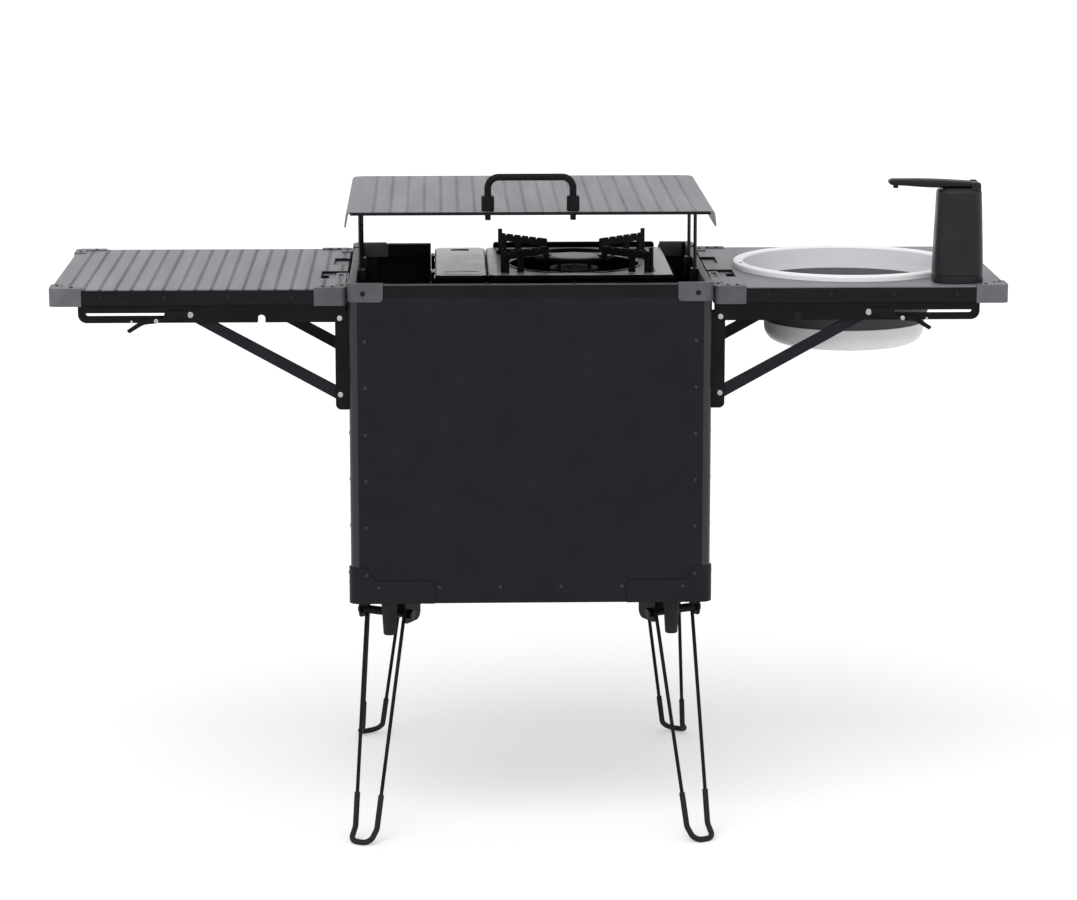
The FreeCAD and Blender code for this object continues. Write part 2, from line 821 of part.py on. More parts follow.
def leg_route(x_side):
    """Root, ankle and foot points of one rod of a leg; x_side is -1 or 1 along the hinge."""
    root = Vector(x_side * leg_wire_spacing / 2, 0, leg_hinge_z)
    ankle = Vector(leg_ankle_side + x_side * leg_ankle_spacing / 2, -leg_ankle_out, leg_ankle_height)
    foot = Vector(leg_foot_side + x_side * leg_foot_spacing / 2, -leg_foot_out, sleeve_radius)
    return root, ankle, foot


def leg_points(upper_left, upper_right):
    """The hairpin's route between two upper ends, down one rod, round the foot and up."""
    _, left_ankle, left_foot = leg_route(-1)
    _, right_ankle, right_foot = leg_route(1)
    points = [upper_left, left_ankle, left_foot, right_foot, right_ankle, upper_right]
    radii = [0, leg_ankle_radius, leg_foot_radius, leg_foot_radius, leg_ankle_radius, 0]
    return points, radii


def make_leg_wire():
    """Hairpin leg: one bent wire welded under a hinge barrel."""
    ends = []
    for x_side in (-1, 1):
        root, ankle, _ = leg_route(x_side)
        ends.append(root + (ankle - root).normalize() * leg_wire_root)
    points, radii = leg_points(*ends)
    wire = rod_along(points, radii, leg_wire_radius)
    reach = leg_ear_gap / 2 - moving_gap
    start = Vector(-reach, 0, leg_hinge_z)
    end = Vector(reach, 0, leg_hinge_z)
    barrel = cylinder(leg_barrel_radius, start, end)
    return wire.fuse(barrel).cut(cylinder(leg_bolt_radius + running_fit, start, end))


def make_leg_sleeve():
    """Rubber sleeve over the foot loop and the lower end of both rods."""
    ends = []
    for x_side in (-1, 1):
        root, ankle, _ = leg_route(x_side)
        ends.append(ankle + (root - ankle).normalize() * sleeve_length)
    points, radii = leg_points(*ends)
    outside = rod_along(points, radii, sleeve_radius)
    longer = []
    for x_side in (-1, 1):
        root, ankle, _ = leg_route(x_side)
        longer.append(ankle + (root - ankle).normalize() * (sleeve_length + overrun))
    points, radii = leg_points(*longer)
    return outside.cut(rod_along(points, radii, leg_wire_radius + running_fit))


def corner_pieces(shape):
    """A front left leg piece with its mirror images, in the order of leg_names."""
    front_left = at_leg_corner(shape)
    return {"front_left": front_left, "front_right": across_x(front_left),
            "rear_left": across_y(front_left), "rear_right": across_x(across_y(front_left))}


def pin_through(x, z, half_length, head_radius, head_height, shaft_radius):
    """A rivet across a folding bracket, with a rounded head at each end."""
    total = half_length + head_height
    profile = [(0, -total), (head_radius, -total), (head_radius, -half_length),
               (shaft_radius, -half_length), (shaft_radius, half_length),
               (head_radius, half_length), (head_radius, total), (0, total)]
    edge = head_height - running_fit
    radii = [0, edge, 0, 0, 0, 0, edge, 0]
    return turned(profile, radii, Vector(x, bracket_plane, z), Vector(0, 1, 0))


def bracket_bore(x, z, radius):
    """A bar along Y that cuts a hole through one folding bracket."""
    return cylinder(radius, Vector(x, bracket_plane - arm_outer_half - overrun, z),
                    Vector(x, bracket_plane + arm_outer_half + overrun, z))


def make_wall_channel():
    """Upright channel on the box's side that carries both pivots of a folding bracket."""
    low = lower_pivot_z - wall_channel_foot
    high = pivot_z + wall_channel_head
    outer = half_width + wall_channel_depth
    outline = [(half_width, low), (outer, low), (outer, high), (half_width, high)]
    radii = [0, wall_channel_radius, wall_channel_radius, 0]
    channel = along_y(outline, radii, bracket_plane - wall_channel_outer_half,
                      bracket_plane + wall_channel_outer_half)
    inside = block(half_width + wall_channel_wall, outer + overrun,
                   bracket_plane - wall_channel_inner_half, bracket_plane + wall_channel_inner_half,
                   low - overrun, high + overrun)
    bore = pivot_radius + running_fit
    return channel.cut(inside).cut(bracket_bore(pivot_x, pivot_z, bore)).cut(
        bracket_bore(pivot_x, lower_pivot_z, bore))


def make_bracket_pivots():
    """The upper and lower pivot rivets of all four folding brackets."""
    upper = pin_through(pivot_x, pivot_z, arm_outer_half + moving_gap, rivet_head_radius,
                        rivet_head_height, pivot_radius)
    lower = pin_through(pivot_x, lower_pivot_z, wall_channel_outer_half, rivet_head_radius,
                        rivet_head_height, pivot_radius)
    return at_four_corners(upper) + at_four_corners(lower)


def make_bracket_arm():
    """Channel arm under a wing: slot for the strut pin, notch for the lower pivot, lever stub."""
    low = wing_bottom - arm_height
    near = pivot_x - arm_tail
    far = pivot_x + arm_reach
    outline = [(near, low), (far, low), (far, wing_bottom), (near, wing_bottom)]
    radii = [arm_tail_radius, arm_end_radius, 0, 0]
    arm = along_y(outline, radii, bracket_plane - arm_outer_half, bracket_plane + arm_outer_half)
    inside = block(near - overrun, far + overrun, bracket_plane - arm_inner_half,
                   bracket_plane + arm_inner_half, low - overrun, wing_bottom - arm_wall)
    slot_half = pivot_radius + moving_gap
    y_low = bracket_plane - arm_outer_half - overrun
    y_high = bracket_plane + arm_outer_half + overrun
    slot_ends = (pivot_x + slot_start - slot_half, pivot_x + strut_pin_end + slot_play)
    slot = along_y([(slot_ends[0], slot_z - slot_half), (slot_ends[1], slot_z - slot_half),
                    (slot_ends[1], slot_z + slot_half), (slot_ends[0], slot_z + slot_half)],
                   [slot_half - touch_limit] * 4, y_low, y_high)
    notch_x = pivot_x + pivot_spacing
    notch_high = pivot_z + strut_notch_rise
    notch = along_y([(notch_x - strut_notch_half_width, low - overrun),
                     (notch_x + strut_notch_half_width, low - overrun),
                     (notch_x + strut_notch_half_width, notch_high),
                     (notch_x - strut_notch_half_width, notch_high)],
                    [0, 0, strut_notch_half_width - touch_limit, strut_notch_half_width - touch_limit],
                    y_low, y_high)
    for cutter in (inside, slot, notch, bracket_bore(pivot_x, pivot_z, pivot_radius + running_fit)):
        arm = arm.cut(cutter)
    stub_end = lever_plane + lever_wall + moving_gap
    collar = lever_plane - moving_gap
    profile = [(0, arm_inner_half), (lever_head_radius, arm_inner_half), (lever_head_radius, collar),
               (lever_stub_radius, collar), (lever_stub_radius, stub_end),
               (lever_head_radius, stub_end), (lever_head_radius, stub_end + lever_head_height),
               (0, stub_end + lever_head_height)]
    stub = turned(profile, [0] * len(profile), Vector(lever_x, bracket_plane, lever_z),
                  Vector(0, 1, 0))
    return arm.fuse(stub)


def make_strut():
    """Pressed strut from the lower pivot up to the slot: a channel with solid rounded ends."""
    tail = -strut_half_width
    tip = strut_length + strut_tip_half_width
    outline = [(tail, -strut_half_width), (tip, -strut_tip_half_width),
               (tip, strut_tip_half_width), (tail, strut_half_width)]
    round_tip = strut_tip_half_width - moving_gap
    round_tail = strut_half_width - moving_gap
    bar = along_y(outline, [round_tail, round_tip, round_tip, round_tail],
                  -strut_half_thickness, strut_half_thickness)
    hollow = block(strut_solid_end, strut_length - strut_solid_end, strut_wall - strut_half_thickness,
                   strut_half_thickness - strut_wall, strut_wall - strut_tip_half_width,
                   strut_half_width + overrun)
    bar = bar.cut(hollow)
    reach = strut_half_thickness + overrun
    for x in (0, strut_length):
        bar = bar.cut(cylinder(pivot_radius + running_fit, Vector(x, -reach, 0), Vector(x, reach, 0)))
    turn = Rotation(Vector(0, 1, 0), -strut_rest_angle)
    bar.Placement = Placement(Vector(pivot_x, bracket_plane, lower_pivot_z), turn)
    return bar


def make_strut_pin(way):
    """Half of the pin in the slot: a washer inside the arm, a stub, and a head outside."""
    inner = strut_half_thickness + moving_gap
    neck = inner + washer_thickness
    outer = arm_outer_half + moving_gap
    profile = [(0, inner), (washer_radius, inner), (washer_radius, neck), (pivot_radius, neck),
               (pivot_radius, outer), (pin_head_radius, outer),
               (pin_head_radius, outer + pin_head_height), (0, outer + pin_head_height)]
    radii = [0, 0, 0, 0, 0, 0, pin_head_height - running_fit, 0]
    return turned(profile, radii, Vector(pivot_x + slot_start, bracket_plane, slot_z),
                  Vector(0, way, 0))


def make_release_lever():
    """Curved trigger that hangs under the arm's far side, on the face away from the box."""
    bend_share = 0.42
    outline = [(-lever_ear, lever_ear), (lever_reach * bend_share, lever_ear),
               (lever_reach, lever_tip - lever_drop), (lever_reach - lever_tip, -lever_drop),
               (lever_reach * bend_share, -lever_ear - lever_tip / 2), (-lever_ear, -lever_ear)]
    placed = [(lever_x + x, lever_z + z) for x, z in outline]
    radii = [lever_ear - moving_gap, lever_drop, lever_round, lever_round, lever_drop,
             lever_ear - moving_gap]
    low = bracket_plane + lever_plane
    lever = along_y(placed, radii, low, low + lever_wall)
    return lever.cut(bracket_bore(lever_x, lever_z, lever_stub_radius + running_fit))


def pocket_places():
    """Middle, width and depth of the two pockets in a wing's inner edge."""
    offset = wing_depth * pocket_offset_share
    return ((-offset, front_pocket_width, front_pocket_depth),
            (offset, rear_pocket_width, rear_pocket_depth))


def wing_prism(z_low, z_high, inset, radius):
    """The outline of the right wing between two heights, drawn in evenly."""
    reach = wing_depth / 2 - inset
    return rounded_prism(wing_inner + inset, wing_outer - inset, -reach, reach, z_low, z_high, radius)


def pocket_cuts(z_low):
    """The two pockets, open upwards and towards the box."""
    cuts = []
    for middle, width, depth in pocket_places():
        outline = [(wing_inner - overrun, middle - width / 2), (wing_inner + depth, middle - width / 2),
                   (wing_inner + depth, middle + width / 2), (wing_inner - overrun, middle + width / 2)]
        cuts.append(plan_prism(outline, [0, pocket_radius, pocket_radius, 0], z_low, wing_top + overrun))
    return Part.makeCompound(cuts)


def make_wing_frame():
    """Wing rim of channel section, open inwards, with pockets sunk in its inner edge."""
    top = wing_top - wing_plate_wall
    rim = wing_prism(wing_bottom, top, 0, wing_corner_radius)
    opening = wing_prism(wing_bottom - overrun, wing_top, wing_rim_width, wing_corner_radius)
    groove = wing_prism(wing_bottom + wing_rim_wall, top - wing_rim_wall, wing_rim_wall,
                        wing_corner_radius - wing_rim_wall)
    return rim.cut(opening).cut(groove).cut(pocket_cuts(top - wing_rim_wall))


def make_wing_plate():
    """Top sheet of a wing, with its two pocket notches."""
    plate = wing_prism(wing_top - wing_plate_wall, wing_top, wing_plate_inset,
                       wing_corner_radius - wing_plate_inset)
    return plate.cut(pocket_cuts(wing_bottom))


def make_right_wing_plate():
    """Top sheet of the right wing, with the round hole that holds the basin."""
    hole = cylinder(basin_hole_radius, Vector(basin_x, 0, wing_bottom), Vector(basin_x, 0, wing_top + overrun))
    return make_wing_plate().cut(hole)


def make_wing_corner_caps():
    """Corner caps folded over the four corners of a wing."""
    outer = wing_depth / 2 + wing_cap_wall
    low = wing_bottom - wing_cap_overhang
    high = wing_top + wing_cap_wall
    shell = rounded_prism(wing_inner - wing_cap_wall, wing_outer + wing_cap_wall, -outer, outer,
                          low, high, wing_corner_radius + wing_cap_wall)
    shell = shell.cut(wing_prism(low - overrun, wing_top, 0, wing_corner_radius))
    leaf = wing_prism(wing_top - overrun, high + overrun, wing_cap_leaf, wing_cap_radius)
    shell = shell.cut(leaf)
    arm_side = bracket_plane + arm_outer_half + moving_gap
    shell = shell.cut(block(wing_inner, wing_outer, -arm_side, arm_side, low - overrun, wing_bottom))
    caps = []
    for x_low, x_high in ((wing_inner - overrun, wing_inner + wing_cap_length),
                          (wing_outer - wing_cap_length, wing_outer + overrun)):
        for way in (-1, 1):
            edges = sorted((way * (wing_depth / 2 - wing_cap_length), way * (outer + overrun)))
            trim = rounded_prism(x_low, x_high, *edges, low - overrun, high + overrun, wing_cap_radius)
            caps.append(shell.common(trim))
    return caps


def make_pocket_leaves():
    """Sheet floors of the two pockets; the front one has a finger hole at its far end."""
    leaf_top = wing_top - wing_plate_wall - wing_rim_wall
    leaves = []
    for middle, width, depth in pocket_places():
        half = width / 2 + leaf_margin
        leaf = rounded_prism(wing_inner + wing_rim_wall, wing_inner + depth + leaf_margin,
                             middle - half, middle + half, leaf_top - leaf_wall, leaf_top, pocket_radius)
        if width == front_pocket_width:
            far = wing_inner + depth
            near = far - leaf_hole_width
            hole = rounded_prism(near, far, middle - leaf_hole_length / 2, middle + leaf_hole_length / 2,
                                 leaf_top - overrun, leaf_top + overrun, pocket_radius)
            leaf = leaf.cut(hole)
        leaves.append(leaf)
    return leaves


def make_latch_slide():
    """Latch plate in the front pocket, slid outwards by the finger in its grip slot."""
    middle, width, depth = pocket_places()[0]
    low = wing_top - wing_plate_wall - wing_rim_wall + moving_gap
    half = width / 2 - latch_margin
    far = wing_inner + depth - leaf_hole_width - latch_travel
    plate = rounded_prism(wing_inner - latch_reach, far, middle - half, middle + half, low,
                          low + latch_wall, pocket_radius)
    grip_far = far - latch_margin
    grip = rounded_prism(grip_far - latch_grip_width, grip_far, middle - latch_grip_length / 2,
                         middle + latch_grip_length / 2, low - overrun, low + latch_wall + overrun,
                         pocket_radius)
    return plate.cut(grip)


def make_stove_body():
    """Pressed lower casing with a canister bay, a raised fascia, feet and cover hinges."""
    casing = rounded_prism(stove_left, stove_right, stove_back, stove_front, stove_floor_z,
                           stove_rim_z, stove_radius)
    for left, right in ((stove_left + stove_wall, stove_divider),
                        (stove_divider + stove_wall, stove_right - stove_wall)):
        bay = rounded_prism(left, right, stove_back + stove_wall, stove_front - stove_wall,
                            stove_floor_z + stove_wall, stove_rim_z + overrun,
                            stove_radius - stove_wall)
        casing = casing.cut(bay)
    additions = [make_fascia()]
    inset = stove_radius + stove_foot_radius
    upper_radius = stove_foot_radius - stove_wall
    for x in (stove_left + inset, stove_right - inset):
        for y in (stove_back + inset, stove_front - inset):
            profile = [(0, 0), (stove_foot_radius, 0), (upper_radius, stove_foot_height),
                       (0, stove_foot_height)]
            additions.append(turned(profile, [0, stove_wall, 0, 0], Vector(x, y, shelf_top),
                                    Vector(0, 0, 1)))
    for y in cover_hinge_places():
        additions += hinge_ends(y)
    casing = casing.multiFuse(additions)
    shaft_bore = cylinder(knob_shaft_radius + running_fit, Vector(knob_x, stove_front - overrun, knob_z),
                          Vector(knob_x, stove_front + overrun, knob_z))
    slot_half = gas_lever_stem / 2 + moving_gap
    slot = block(gas_lever_x - slot_half, gas_lever_x + slot_half, stove_front - overrun,
                 stove_front + overrun, gas_lever_z - gas_lever_travel - slot_half,
                 gas_lever_z + slot_half)
    tube_bore = cylinder(burner_tube_radius + running_fit,
                         Vector(stove_divider - overrun, burner_y, mixing_tube_z),
                         Vector(stove_divider + overrun, burner_y, mixing_tube_z))
    return casing.cut(shaft_bore).cut(slot).cut(tube_bore)


def make_fascia():
    """Upright strip behind the burner, a little higher than the stove's top."""
    left = stove_divider + stove_radius
    right = stove_right - stove_radius
    high = stove_top_z + fascia_rise
    outline = [(left, stove_rim_z), (right, stove_rim_z), (right, high), (left, high)]
    radii = [0, 0, stove_edge_radius, stove_edge_radius]
    return along_y(outline, radii, stove_front - fascia_wall, stove_front)


def cover_hinge_places():
    """Where along Y the two hinges of the canister cover stand."""
    return (stove_back + hinge_inset, stove_front - hinge_inset)


def hinge_ends(y):
    """The fixed outer knuckles of one cover hinge, their ears on the casing, and the pin."""
    half = hinge_barrel_length / 2 + moving_gap
    pieces = [cylinder(hinge_pin_radius, Vector(cover_hinge_x, y - half, cover_hinge_z),
                       Vector(cover_hinge_x, y + half, cover_hinge_z))]
    for way in (-1, 1):
        edges = sorted((y + way * half, y + way * (half + hinge_end_length)))
        pieces.append(cylinder(hinge_barrel_radius, Vector(cover_hinge_x, edges[0], cover_hinge_z),
                               Vector(cover_hinge_x, edges[1], cover_hinge_z)))
        ear_low = stove_rim_z - hinge_ear_drop
        ear_left = cover_hinge_x - hinge_barrel_radius
        pieces.append(block(ear_left, stove_left - moving_gap, *edges, ear_low, cover_hinge_z))
        pieces.append(block(ear_left, stove_left + stove_wall, *edges, ear_low,
                            stove_rim_z - moving_gap))
    return pieces


def pressed_lid(left, right, low):
    """A shallow pressed cover over part of the stove, open below, with a rolled upper edge."""
    outside = rounded_prism(left, right, stove_back, stove_front, low, stove_top_z, stove_radius)
    upper = [edge for edge in outside.Edges if edge.BoundBox.ZMin > stove_top_z - touch_limit]
    outside = outside.makeFillet(stove_edge_radius, upper)
    inside = rounded_prism(left + stove_wall, right - stove_wall, stove_back + stove_wall,
                           stove_front - stove_wall, low - overrun, stove_top_z - stove_wall,
                           stove_radius - stove_wall)
    return outside, inside


def make_stove_top():
    """Grey pressed top: a sunk field for the pan support, and a round hole for the drip pan."""
    outside, inside = pressed_lid(stove_divider + cover_gap, stove_right, stove_rim_z)
    field = rounded_prism(top_recess_left, top_recess_right, top_back, top_front, recess_z,
                          stove_top_z + overrun, top_recess_radius)
    under = rounded_prism(top_recess_left - stove_wall, top_recess_right + stove_wall,
                          top_back - stove_wall, top_front + stove_wall, recess_z - stove_wall,
                          stove_top_z, top_recess_radius + stove_wall)
    seam = block(top_recess_left - top_seam_width, top_recess_left, stove_back - overrun,
                 stove_front + overrun, stove_top_z - top_seam_depth, stove_top_z + overrun)
    hole = cylinder(pan_radius, Vector(burner_x, burner_y, stove_rim_z),
                    Vector(burner_x, burner_y, stove_top_z))
    strip = block(stove_divider + stove_radius - moving_gap, stove_right - stove_radius + moving_gap,
                  stove_front - fascia_wall - moving_gap, stove_front + overrun,
                  stove_rim_z - overrun, stove_top_z + overrun)
    top = outside.cut(inside.cut(under)).cut(field)
    return top.cut(seam).cut(hole).cut(strip)


def make_drip_pan():
    """Round black pan that hangs by its lip, open in the middle round the burner."""
    lip = pan_radius + pan_lip_width
    upper = recess_z + pan_wall
    mouth = pan_radius - running_fit
    inner_mouth = mouth - pan_wall
    inner_floor = pan_floor_radius - pan_wall
    floor_top_z = pan_floor_z + pan_wall
    well_top = pan_floor_z + pan_well_rise
    well_outer = pan_well_radius + pan_wall
    profile = [(pan_well_radius, pan_floor_z), (pan_floor_radius, pan_floor_z), (mouth, recess_z),
               (lip, recess_z), (lip, upper), (inner_mouth, upper), (inner_floor, floor_top_z),
               (well_outer, floor_top_z), (well_outer, well_top), (pan_well_radius, well_top)]
    bend = pan_bend_radius
    radii = [0, bend, 0, 0, 0, pan_wall, bend - pan_wall, pan_wall, 0, 0]
    return turned(profile, radii, Vector(burner_x, burner_y, 0), Vector(0, 0, 1))


def make_burner():
    """Burner: foot on the casing floor, mixing tube, ported cup, and a cap on four posts."""
    floor_z = stove_floor_z + stove_wall
    cup_top = burner_cup_low + burner_cup_height
    profile = [(0, floor_z), (burner_foot_radius, floor_z), (burner_foot_radius, burner_cup_low),
               (burner_cup_radius, burner_cup_low + burner_tube_wall * 2), (burner_cup_radius, cup_top),
               (burner_cup_radius - pan_wall * 2, cup_top),
               (burner_foot_radius, burner_cup_low + burner_tube_wall * 4),
               (0, burner_cup_low + burner_tube_wall * 4)]
    radii = [0] * len(profile)
    body = turned(profile, radii, Vector(burner_x, burner_y, 0), Vector(0, 0, 1))
    cap = turned([(0, burner_cap_low), (burner_cap_radius, burner_cap_low),
                  (burner_cap_radius, burner_cap_low + burner_cap_wall / 2),
                  (burner_cap_crown, burner_cap_top), (0, burner_cap_top)],
                 [0, 0, burner_cap_wall / 2, burner_cap_wall / 2, 0],
                 Vector(burner_x, burner_y, 0), Vector(0, 0, 1))
    start = Vector(stove_divider - stove_wall, burner_y, mixing_tube_z)
    tube = cylinder(burner_tube_radius, start, Vector(burner_x, burner_y, mixing_tube_z))
    posts = []
    for index in range(burner_post_count):
        angle = math.radians(full_turn * (index + 1 / 2) / burner_post_count)
        x = burner_x + burner_post_circle * math.cos(angle)
        y = burner_y + burner_post_circle * math.sin(angle)
        posts.append(cylinder(burner_post_radius, Vector(x, y, burner_cup_low + burner_tube_wall * 3),
                              Vector(x, y, burner_cap_low + burner_cap_wall / 2)))
    burner = body.multiFuse([cap, tube] + posts)
    bore_end = Vector(burner_x - burner_foot_radius, burner_y, mixing_tube_z)
    burner = burner.cut(cylinder(burner_tube_radius - burner_tube_wall, start, bore_end))
    ports = []
    port_z = cup_top - burner_port_radius * 2
    middle = Vector(burner_x, burner_y, port_z)
    for index in range(burner_port_count):
        angle = math.radians(full_turn * index / burner_port_count)
        way = Vector(math.cos(angle), math.sin(angle), 0)
        ports.append(cylinder(burner_port_radius, middle + way * burner_foot_radius,
                              middle + way * (burner_cup_radius + overrun)))
    return burner.cut(Part.makeCompound(ports))


def support_arm():
    """One arm of the pan support, drawn outwards along X from the burner's axis.

    It stands on two feet, has a row of shallow teeth on top and a spike at its outer end."""
    top = recess_z + support_arm_rise
    under = top - support_arm_depth
    outer_end = support_reach + support_outer_leg_width / 2
    tip = recess_z + support_tip_rise
    outline = [(outer_end, recess_z), (outer_end, tip), (outer_end - support_tip_width, tip),
               (outer_end - support_tip_width, top)]
    bend = support_bend_radius
    radii = [0, 0, 0, 0]
    pitch = (support_teeth_end - support_teeth_start) / support_tooth_count
    for index in range(support_tooth_count):
        far = support_teeth_end - index * pitch
        near = far - pitch * support_gap_share
        low = top - support_tooth_depth
        outline += [(far, top), (far, low), (near, low), (near, top)]
        radii += [0, 0, 0, 0]
    root = support_ring_radius - support_ring_width
    ring_low = recess_z + support_ring_rise - support_ring_height
    outline += [(root, top), (root, ring_low), (root + support_root_length, ring_low),
                (root + support_root_length, under)]
    radii += [bend, 0, 0, bend]
    for middle, width in ((support_inner_leg, support_inner_leg_width),
                          (support_reach, support_outer_leg_width)):
        near = middle - width / 2
        outline += [(near, under), (near, recess_z)]
        radii += [bend, 0]
        if middle == support_inner_leg:
            outline += [(middle + width / 2, recess_z), (middle + width / 2, under)]
            radii += [0, bend]
    return along_y(outline, radii, -support_arm_wall / 2, support_arm_wall / 2)


def make_pan_support():
    """Four toothed arms on a low ring, standing in the sunk field of the stove's top."""
    ring_top = recess_z + support_ring_rise
    low = ring_top - support_ring_height
    inner = support_ring_radius - support_ring_width
    ring = turned([(inner, low), (support_ring_radius, low), (support_ring_radius, ring_top),
                   (inner, ring_top)], [0] * 4, Vector(0, 0, 0), Vector(0, 0, 1))
    arms = []
    for index in range(support_arm_count):
        arm = support_arm()
        arm.rotate(Vector(0, 0, 0), Vector(0, 0, 1), full_turn * (index + 1 / 2) / support_arm_count)
        arms.append(arm)
    support = ring.multiFuse(arms)
    support.translate(Vector(burner_x, burner_y, 0))
    return support


def make_gas_canister():
    """Gas canister lying along the bay, with rounded shoulders, a collar and a valve stem."""
    floor_z = stove_floor_z + stove_wall
    start = stove_back + stove_wall + canister_start
    neck = canister_length + canister_collar_height
    profile = [(0, 0), (canister_radius, 0), (canister_radius, canister_length),
               (canister_collar_radius, canister_length), (canister_collar_radius, neck),
               (canister_valve_radius, neck), (canister_valve_radius, neck + canister_valve_height),
               (0, neck + canister_valve_height)]
    radii = [0, canister_shoulder_radius, canister_shoulder_radius, 0, 0, 0, 0, 0]
    middle_x = (stove_left + stove_wall + stove_divider) / 2
    base = Vector(middle_x, start, floor_z + canister_radius + running_fit)
    return turned(profile, radii, base, Vector(0, 1, 0))


def make_canister_cover():
    """Hinged lid over the canister bay, with a finger slot and a pressed groove."""
    left = stove_left
    right = stove_divider
    low = stove_rim_z + moving_gap
    outside, inside = pressed_lid(left, right, low)
    middle = (left + right) / 2
    slot = rounded_prism(middle - cover_slot_length / 2, middle + cover_slot_length / 2,
                         stove_front - cover_slot_inset - cover_slot_width,
                         stove_front - cover_slot_inset, low, stove_top_z + overrun,
                         cover_slot_radius)
    groove = rounded_prism(left + cover_groove_margin, right - cover_groove_margin,
                           stove_back + cover_groove_inset,
                           stove_back + cover_groove_inset + cover_groove_width,
                           stove_top_z - cover_groove_depth, stove_top_z + overrun,
                           cover_groove_width / 2 - touch_limit)
    cover = outside.cut(inside).cut(slot).cut(groove)
    half = hinge_barrel_length / 2
    for y in cover_hinge_places():
        start = Vector(cover_hinge_x, y - half, cover_hinge_z)
        end = Vector(cover_hinge_x, y + half, cover_hinge_z)
        web = block(cover_hinge_x, left + stove_wall, y - half, y + half,
                    cover_hinge_z - hinge_barrel_radius, cover_hinge_z)
        cover = cover.multiFuse([cylinder(hinge_barrel_radius, start, end), web])
        cover = cover.cut(cylinder(hinge_pin_radius + running_fit, start, end))
    return cover


def make_control_knob():
    """Turned knob with a raised grip bar, and its shaft through the stove's face."""
    profile = [(0, 0), (knob_skirt_radius, 0), (knob_skirt_radius, knob_skirt),
               (knob_radius, knob_skirt), (knob_radius, knob_depth), (0, knob_depth)]
    radii = [0, 0, knob_edge_radius / 2, 0, knob_edge_radius, 0]
    base = Vector(knob_x, stove_front + moving_gap, knob_z)
    knob = turned(profile, radii, base, Vector(0, 1, 0))
    front = stove_front + moving_gap + knob_depth
    half = knob_grip_width / 2
    grip = along_y([(knob_x - half, knob_z - knob_radius + half), (knob_x + half, knob_z - knob_radius + half),
                    (knob_x + half, knob_z + knob_radius - half), (knob_x - half, knob_z + knob_radius - half)],
                   [knob_edge_radius * 2] * 4, front - knob_skirt, front + knob_grip_depth)
    shaft = cylinder(knob_shaft_radius, Vector(knob_x, stove_front - knob_shaft_length, knob_z),
                     Vector(knob_x, stove_front + knob_skirt, knob_z))
    return knob.multiFuse([grip, shaft])


def make_canister_lever():
    """Lever that locks the canister: a tab outside, a stem in the slot, a plate inside."""
    tab_low = stove_front + moving_gap
    half_w = gas_lever_width / 2
    half_h = gas_lever_height / 2
    tab = along_y([(gas_lever_x - half_w, gas_lever_z - half_h), (gas_lever_x + half_w, gas_lever_z - half_h),
                   (gas_lever_x + half_w, gas_lever_z + half_h), (gas_lever_x - half_w, gas_lever_z + half_h)],
                  [gas_lever_radius] * 4, tab_low, tab_low + gas_lever_reach)
    stem_half = gas_lever_stem / 2
    inner = stove_front - stove_wall - moving_gap
    stem = block(gas_lever_x - stem_half, gas_lever_x + stem_half, inner - stove_wall, tab_low + gas_lever_radius,
                 gas_lever_z - stem_half, gas_lever_z + stem_half)
    plate = block(gas_lever_x - half_w, gas_lever_x + half_w, inner - stove_wall, inner,
                  gas_lever_z - half_h, gas_lever_z + half_h)
    return tab.multiFuse([stem, plate])


def make_lid_plate():
    """Folded sheet lid with slightly flared side flanges and rounded rear corners."""
    half = lid_width / 2
    low = lid_top - lid_flange
    outline = [(-half, lid_top), (half, lid_top), (half + lid_flare, low),
               (half + lid_flare - lid_wall, low), (half - lid_wall, lid_bottom),
               (lid_wall - half, lid_bottom), (lid_wall - half - lid_flare, low),
               (-half - lid_flare, low)]
    inner_bend = lid_bend_radius - lid_wall
    radii = [lid_bend_radius, lid_bend_radius, 0, 0, inner_bend, inner_bend, 0, 0]
    sheet = along_y(outline, radii, -lid_depth / 2, lid_depth / 2)
    reach = half + lid_flare
    plan = [(-reach, -lid_depth / 2), (reach, -lid_depth / 2), (reach, lid_depth / 2), (-reach, lid_depth / 2)]
    trim = plan_prism(plan, [lid_front_radius, lid_front_radius, lid_rear_radius, lid_rear_radius],
                      low - overrun, lid_top + overrun)
    sheet = sheet.common(trim)
    handle_x = handle_width / 2 - handle_rod_radius
    handle_y = handle_inset - lid_depth / 2
    for x in (-handle_x, handle_x):
        sheet = sheet.cut(cylinder(handle_stud_radius + running_fit, Vector(x, handle_y, low),
                                   Vector(x, handle_y, lid_top + overrun)))
    return sheet


def make_lid_posts():
    """Four plain posts under the lid, each with a flat head against the sheet."""
    profile = [(0, 0), (lid_post_head_radius, 0), (lid_post_head_radius, lid_post_head_height),
               (lid_post_radius, lid_post_head_height), (lid_post_radius, lid_post_length),
               (0, lid_post_length)]
    radii = [0, 0, lid_post_head_height / 2, 0, lid_post_radius / 2, 0]
    base = Vector(lid_post_spacing_x / 2, lid_post_spacing_y / 2, lid_bottom)
    return at_four_corners(turned(profile, radii, base, Vector(0, 0, -1)))


